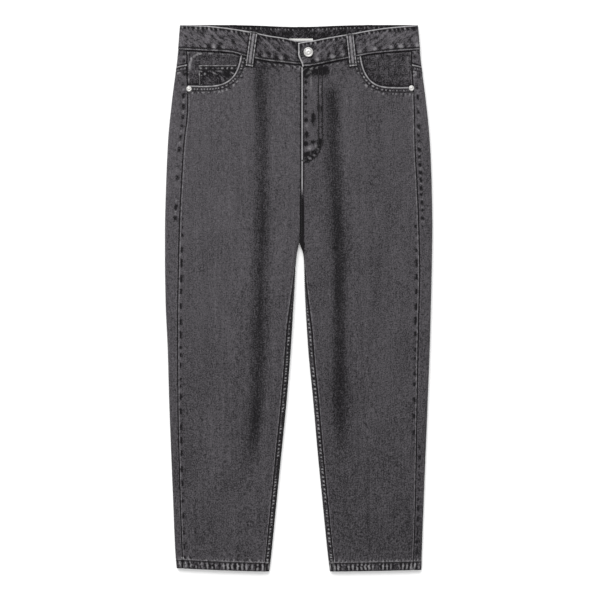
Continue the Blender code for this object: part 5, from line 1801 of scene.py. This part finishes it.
    def buttonhole(self, stitches: Stitches) -> None:
        """Add the keyhole buttonhole beside the button."""
        path = resampled(np.array(((5.4, 54.4), (9.6, 53.2))), 0.6)
        for gap in (-2.2, 2.2):
            row = moved_aside(path, gap)
            stitches.bar(self.flap_place, tuple(row[0]), tuple(row[-1]), 2.2, 0.55)
        turns = np.linspace(math.pi * 0.55, math.pi * 1.55, 9)
        ring = np.stack((np.cos(turns), np.sin(turns)), axis=1) * 2.6 + self.KEYHOLE
        for a, b in zip(ring[:-1], ring[1:]):
            stitches.bar(self.flap_place, tuple(a), tuple(b), 2.0, 0.5)

    def label(self, wardrobe: Wardrobe) -> None:
        """Make the blank label inside the back of the band."""
        across = np.linspace(-LABEL_WIDTH / 2, LABEL_WIDTH / 2, 24) + LABEL_MIDDLE
        down = np.linspace(LABEL_TOP, LABEL_TOP + LABEL_HEIGHT, 12)
        x, y = np.meshgrid(across, down, indexing="ij")
        rise = Drape.underside_lift(np.abs(x), y) + BAND_THICK + SEAM_GAP
        low = np.stack((x, HALF_LENGTH - y, rise), axis=-1)
        high = low + (0, 0, LABEL_THICK)
        high[..., 2] += 0.12 * np.sin(x * 0.5) * np.sin(y * 0.3)
        points, faces = grid_shell(high, low)
        piece = make_object("blank_label", points, faces, wardrobe.label, False)
        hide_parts("label")


@dataclass
class BeltLoop:
    """One belt loop, bowed between its tacked ends."""

    name: str
    place: Callable[[Array, Array, Array], Array]
    length: float
    lift: Callable[[Array], Array]
    flip: bool
    width: float = LOOP_WIDTH
    thick: float = 1.25
    row_inset: float = 2.9
    seed: int = 90

    def face(self, along: Array, across: Array) -> Array:
        """Height of the loop's face at places along and across it."""
        edge = self.width / 2 - np.abs(across)
        rounding = -0.7 * bell(edge, 0.7)
        grooves = -0.22 * bell(edge - self.row_inset, 0.8)
        waves = 0.14 * ripple(along + 0.4 * across, 8.0, self.seed) * bell(edge, 3.5)
        shape = rounding + grooves + waves
        if not self.name.startswith("belt_loop_front"):
            shape = np.minimum(shape, 0.0)
        return self.lift(along) + self.thick + shape

    def build(self, wardrobe: Wardrobe) -> None:
        """Make the loop and its two stitch rows."""
        along = np.linspace(0.0, self.length, 44)
        across = np.linspace(-self.width / 2, self.width / 2, 21)
        a, c = np.meshgrid(along, across, indexing="ij")
        flat = (a.ravel(), c.ravel())
        outer = self.place(*flat, self.face(*flat)).reshape(*a.shape, 3)
        inner = self.place(*flat, self.lift(flat[0])).reshape(*a.shape, 3)
        points, faces = grid_shell(outer, inner)
        piece = make_object(self.name + "_cloth", points, faces, wardrobe.band, self.flip)
        edge = self.width / 2 - np.abs(flat[1])
        wave = ripple(flat[0] + 0.4 * flat[1], 8.0, self.seed)
        end = self.length - flat[0]
        worn = (0.85 + 0.35 * wave) * bell(edge - 1.1, 1.1) + 0.6 * bell(flat[1], 2.6)
        worn = worn + 0.5 * bell(end - 1.2, 1.0) + 0.5 * bell(flat[0] - 0.9, 0.9)
        unworn = 0.6 * bell(edge - 3.1, 0.9) + 0.6 * bell(edge, 0.35)
        unworn = unworn + 1.1 * bell(end - 3.6, 1.2) + 0.3 * np.clip(-wave, 0, 1)
        paint(piece, np.concatenate((worn, worn * 0)), np.concatenate((unworn, unworn * 0 + 0.3)))
        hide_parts(self.name)
        stitches = Stitches()

        def put(points: Array, height: float) -> Array:
            """Put flat points on the loop's face."""
            return self.place(*points.T, self.face(*points.T) + height)

        for side in (-1.0, 1.0):
            row = np.stack((along, np.full(len(along), side * (self.width / 2 - self.row_inset))), axis=1)
            stitches.row(put, row)
        half = self.width / 2 - 1.0
        for end in (2.0, self.length - 4.0):
            stitches.bar(put, (end, -half), (end, half), 2.2)
        stitches.finish(self.name + "_stitching", wardrobe)


def front_loop(side: Side, top: tuple[float, float], bottom: tuple[float, float]) -> BeltLoop:
    """Return a belt loop on the front of the band.

    Args:
        side: the wearer's side.
        top: distance out and down of its upper end.
        bottom: the same for its lower end.

    Returns:
        The loop.
    """
    start, run = np.array(top), np.array(bottom) - np.array(top)
    length = float(np.hypot(*run))
    run = run / length
    seam = float(BAND_SEAM[side](bottom[0]))

    def place(along: Array, across: Array, offset: Array) -> Array:
        """Put places along and across the loop on the drape."""
        out = start[0] + run[0] * along + run[1] * across
        down = start[1] + run[1] * along - run[0] * across
        return Drape.placed(side, Drape.girth_above(side, out, down), down, offset)

    def lift(along: Array) -> Array:
        """Height of the loop's back above the drape."""
        on_band = fall(start[1] + run[1] * along - seam, 8.0)
        bow = np.sin(math.pi * np.clip(along / length, 0, 1))
        return SEAM_GAP + BAND_PROUD * on_band + 0.2 + 1.6 * bow

    return BeltLoop(f"belt_loop_front_{side.label}", place, length, lift, side is Side.LEFT,
                    seed=90 + int(side.value))


def back_loop(name: str, across_place: float) -> BeltLoop:
    """Return a belt loop on the underside of the band, between the band and the surface."""
    start = float(back_waist(abs(across_place))) - 0.5

    def place(along: Array, across: Array, offset: Array) -> Array:
        """Put places along and across the loop under the band."""
        x = across_place + across
        down = start + along
        lift = Drape.underside_lift(np.abs(x), down)
        return np.stack((x, HALF_LENGTH - down, np.maximum(lift - offset, 0.0)), axis=-1)

    return BeltLoop(name, place, 57.0 - start, lambda along: np.full(np.shape(along), SEAM_GAP), False,
                    thick=POCKET_LIFT - SEAM_GAP, seed=int(120 + across_place))


# Profiles from the middle of the back round to the middle of the face: radius and height
BUTTON_PROFILE = (
    (0, 0), (5.4, 0.0), (7.4, 0.2), (8.3, 0.8), (8.6, 1.5), (8.5, 2.3), (8.0, 2.9), (7.3, 3.1), (6.6, 2.9),
    (6.1, 2.3), (5.6, 2.15), (4.6, 2.5), (3.0, 2.8), (1.6, 2.75), (1.1, 2.45), (0.6, 2.4), (0, 2.45),
)
RIVET_PROFILE = (
    (0, 0), (4.6, 0.0), (4.85, 0.35), (4.5, 0.95), (3.6, 1.25), (2.7, 1.1), (2.2, 1.25), (1.5, 1.75),
    (0, 1.95),
)


@dataclass
class TurnedMetal:
    """A round metal piece turned from a profile of radius and height."""

    name: str
    node: str
    profile: Path
    centre: Array
    normal: Array
    sides: int = 48

    def build(self, wardrobe: Wardrobe) -> None:
        """Make the piece in place of its node."""
        frame = np.array(Vector(self.normal).normalized().to_track_quat("Z", "Y").to_matrix())
        angles = np.arange(self.sides) * 2 * math.pi / self.sides
        smooth = rounded(self.profile, 0.22)
        rings = [np.stack((r * np.cos(angles), r * np.sin(angles), np.full(self.sides, h)), axis=1)
                 for r, h in smooth[1:-1]]
        points = np.vstack([[(0, 0, smooth[0, 1])]] + rings + [[(0, 0, smooth[-1, 1])]])
        points = points @ frame.T + self.centre
        faces = []
        last = len(points) - 1
        for k in range(self.sides):
            m = (k + 1) % self.sides
            faces.append((0, 1 + m, 1 + k))
            faces.append((last, last - self.sides + k, last - self.sides + m))
            for n in range(len(rings) - 1):
                a = 1 + n * self.sides
                b = a + self.sides
                faces.append((a + k, a + m, b + m, b + k))
        piece = make_object(self.name, points, faces, wardrobe.metal)
        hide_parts(self.node)


def metal_pieces(band: Waistband) -> list[TurnedMetal]:
    """Return the tack button and the two rivets."""
    spot = np.array([band.BUTTON])
    low = band.flap_place(spot, SEAM_GAP)[0]
    normal = band.flap_place(spot, SEAM_GAP + 1.0)[0] - low
    found = [TurnedMetal("tack_button", "button", BUTTON_PROFILE, low, normal)]
    for side, (out, down) in RIVETS.items():
        girth = Drape.girth_above(side, np.array([out]), np.array([down]))
        base, top = (Drape.placed(side, girth, np.array([down]), height)[0] for height in (0.8, 1.8))
        name = f"rivet_{side.label}"
        found.append(TurnedMetal(name + "_dome", name, RIVET_PROFILE, base, top - base, 32))
    return found


@dataclass(frozen=True)
class Studio:
    """White surface, soft light from the upper left and a camera straight above."""

    millimetres_per_pixel: float = 1.8
    pixels: int = 600
    frame_centre: tuple[float, float] = (1.25, -2.0)
    floor_half: float = 4.0
    floor_depth: float = 0.0003
    height: float = 6.0
    key_strength: float = 2.4
    sky_strength: float = 0.8
    floor_glow: float = 0.1
    key_way: tuple[float, float, float] = (-0.24, 0.8, 0.84)
    key_angle: float = 46.0
    sensor: float = 36.0

    def build(self) -> None:
        """Make the floor, lights and camera."""
        scene = bpy.context.scene
        mesh = bpy.data.meshes.new("floor")
        corners = [(x * self.floor_half, y * self.floor_half, -self.floor_depth)
                   for x, y in ((-1, -1), (1, -1), (1, 1), (-1, 1))]
        mesh.from_pydata(corners, [], [(0, 1, 2, 3)])
        floor = bpy.data.objects.new("floor", mesh)
        scene.collection.objects.link(floor)
        white, tree, shader = new_material("studio_white")
        tree.fill(shader, {
            "Base Color": (0.93, 0.93, 0.93, 1), "Roughness": 0.9, "Specular IOR Level": 0.1,
            "Emission Color": (1, 1, 1, 1), "Emission Strength": self.floor_glow,
        })
        mesh.materials.append(white)
        world = bpy.data.worlds.new("studio_sky")
        world.use_nodes = True
        sky = world.node_tree.nodes["Background"].inputs
        sky["Color"].default_value = (1, 1, 1, 1)
        sky["Strength"].default_value = self.sky_strength
        scene.world = world
        key = bpy.data.lights.new("key", "SUN")
        key.energy = self.key_strength
        key.angle = math.radians(self.key_angle)
        lamp = bpy.data.objects.new("key", key)
        way = Vector(self.key_way)
        lamp.rotation_euler = way.to_track_quat("Z", "Y").to_euler()
        lamp.location = way * 3
        scene.collection.objects.link(lamp)
        scene.view_settings.view_transform = "Standard"
        self.camera(scene)

    def camera(self, scene: bpy.types.Scene) -> None:
        """Place the camera over the garment with a long lens."""
        data = bpy.data.cameras.new("camera")
        data.type = "PERSP"
        data.sensor_width = self.sensor
        width = self.pixels * self.millimetres_per_pixel * MM
        data.lens = data.sensor_width * self.height / width
        data.clip_end = 50.0
        camera = bpy.data.objects.new("camera", data)
        x, y = (value * self.millimetres_per_pixel * MM for value in self.frame_centre)
        camera.location = (x, y, self.height)
        scene.collection.objects.link(camera)
        scene.camera = camera


def main() -> None:
    """Build the garment's looks in order."""
    logging.basicConfig(level=logging.INFO, format="%(message)s")
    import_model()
    Studio().build()
    wardrobe = Wardrobe.dyed()
    for side in Side:
        pattern = Pattern(side)
        back = BackLeg(side, pattern)
        for piece in (back.piece(), back.yoke(), back.pocket()):
            piece.build(wardrobe.denim, wardrobe)
        pocket = FrontPocket(side, pattern)
        pocket.facing().build(wardrobe.facing, wardrobe)
        if side is Side.RIGHT:
            pocket.coin().build(wardrobe.band, wardrobe)
        FrontLeg(side, pattern).piece().build(wardrobe.denim, wardrobe)
    band = Waistband()
    band.build(wardrobe)
    for side, (top, bottom) in FRONT_LOOPS.items():
        front_loop(side, top, bottom).build(wardrobe)
    for name, across in BACK_LOOPS.items():
        back_loop(name, across).build(wardrobe)
    for metal in metal_pieces(band):
        metal.build(wardrobe)


if __name__ == "__main__":
    main()
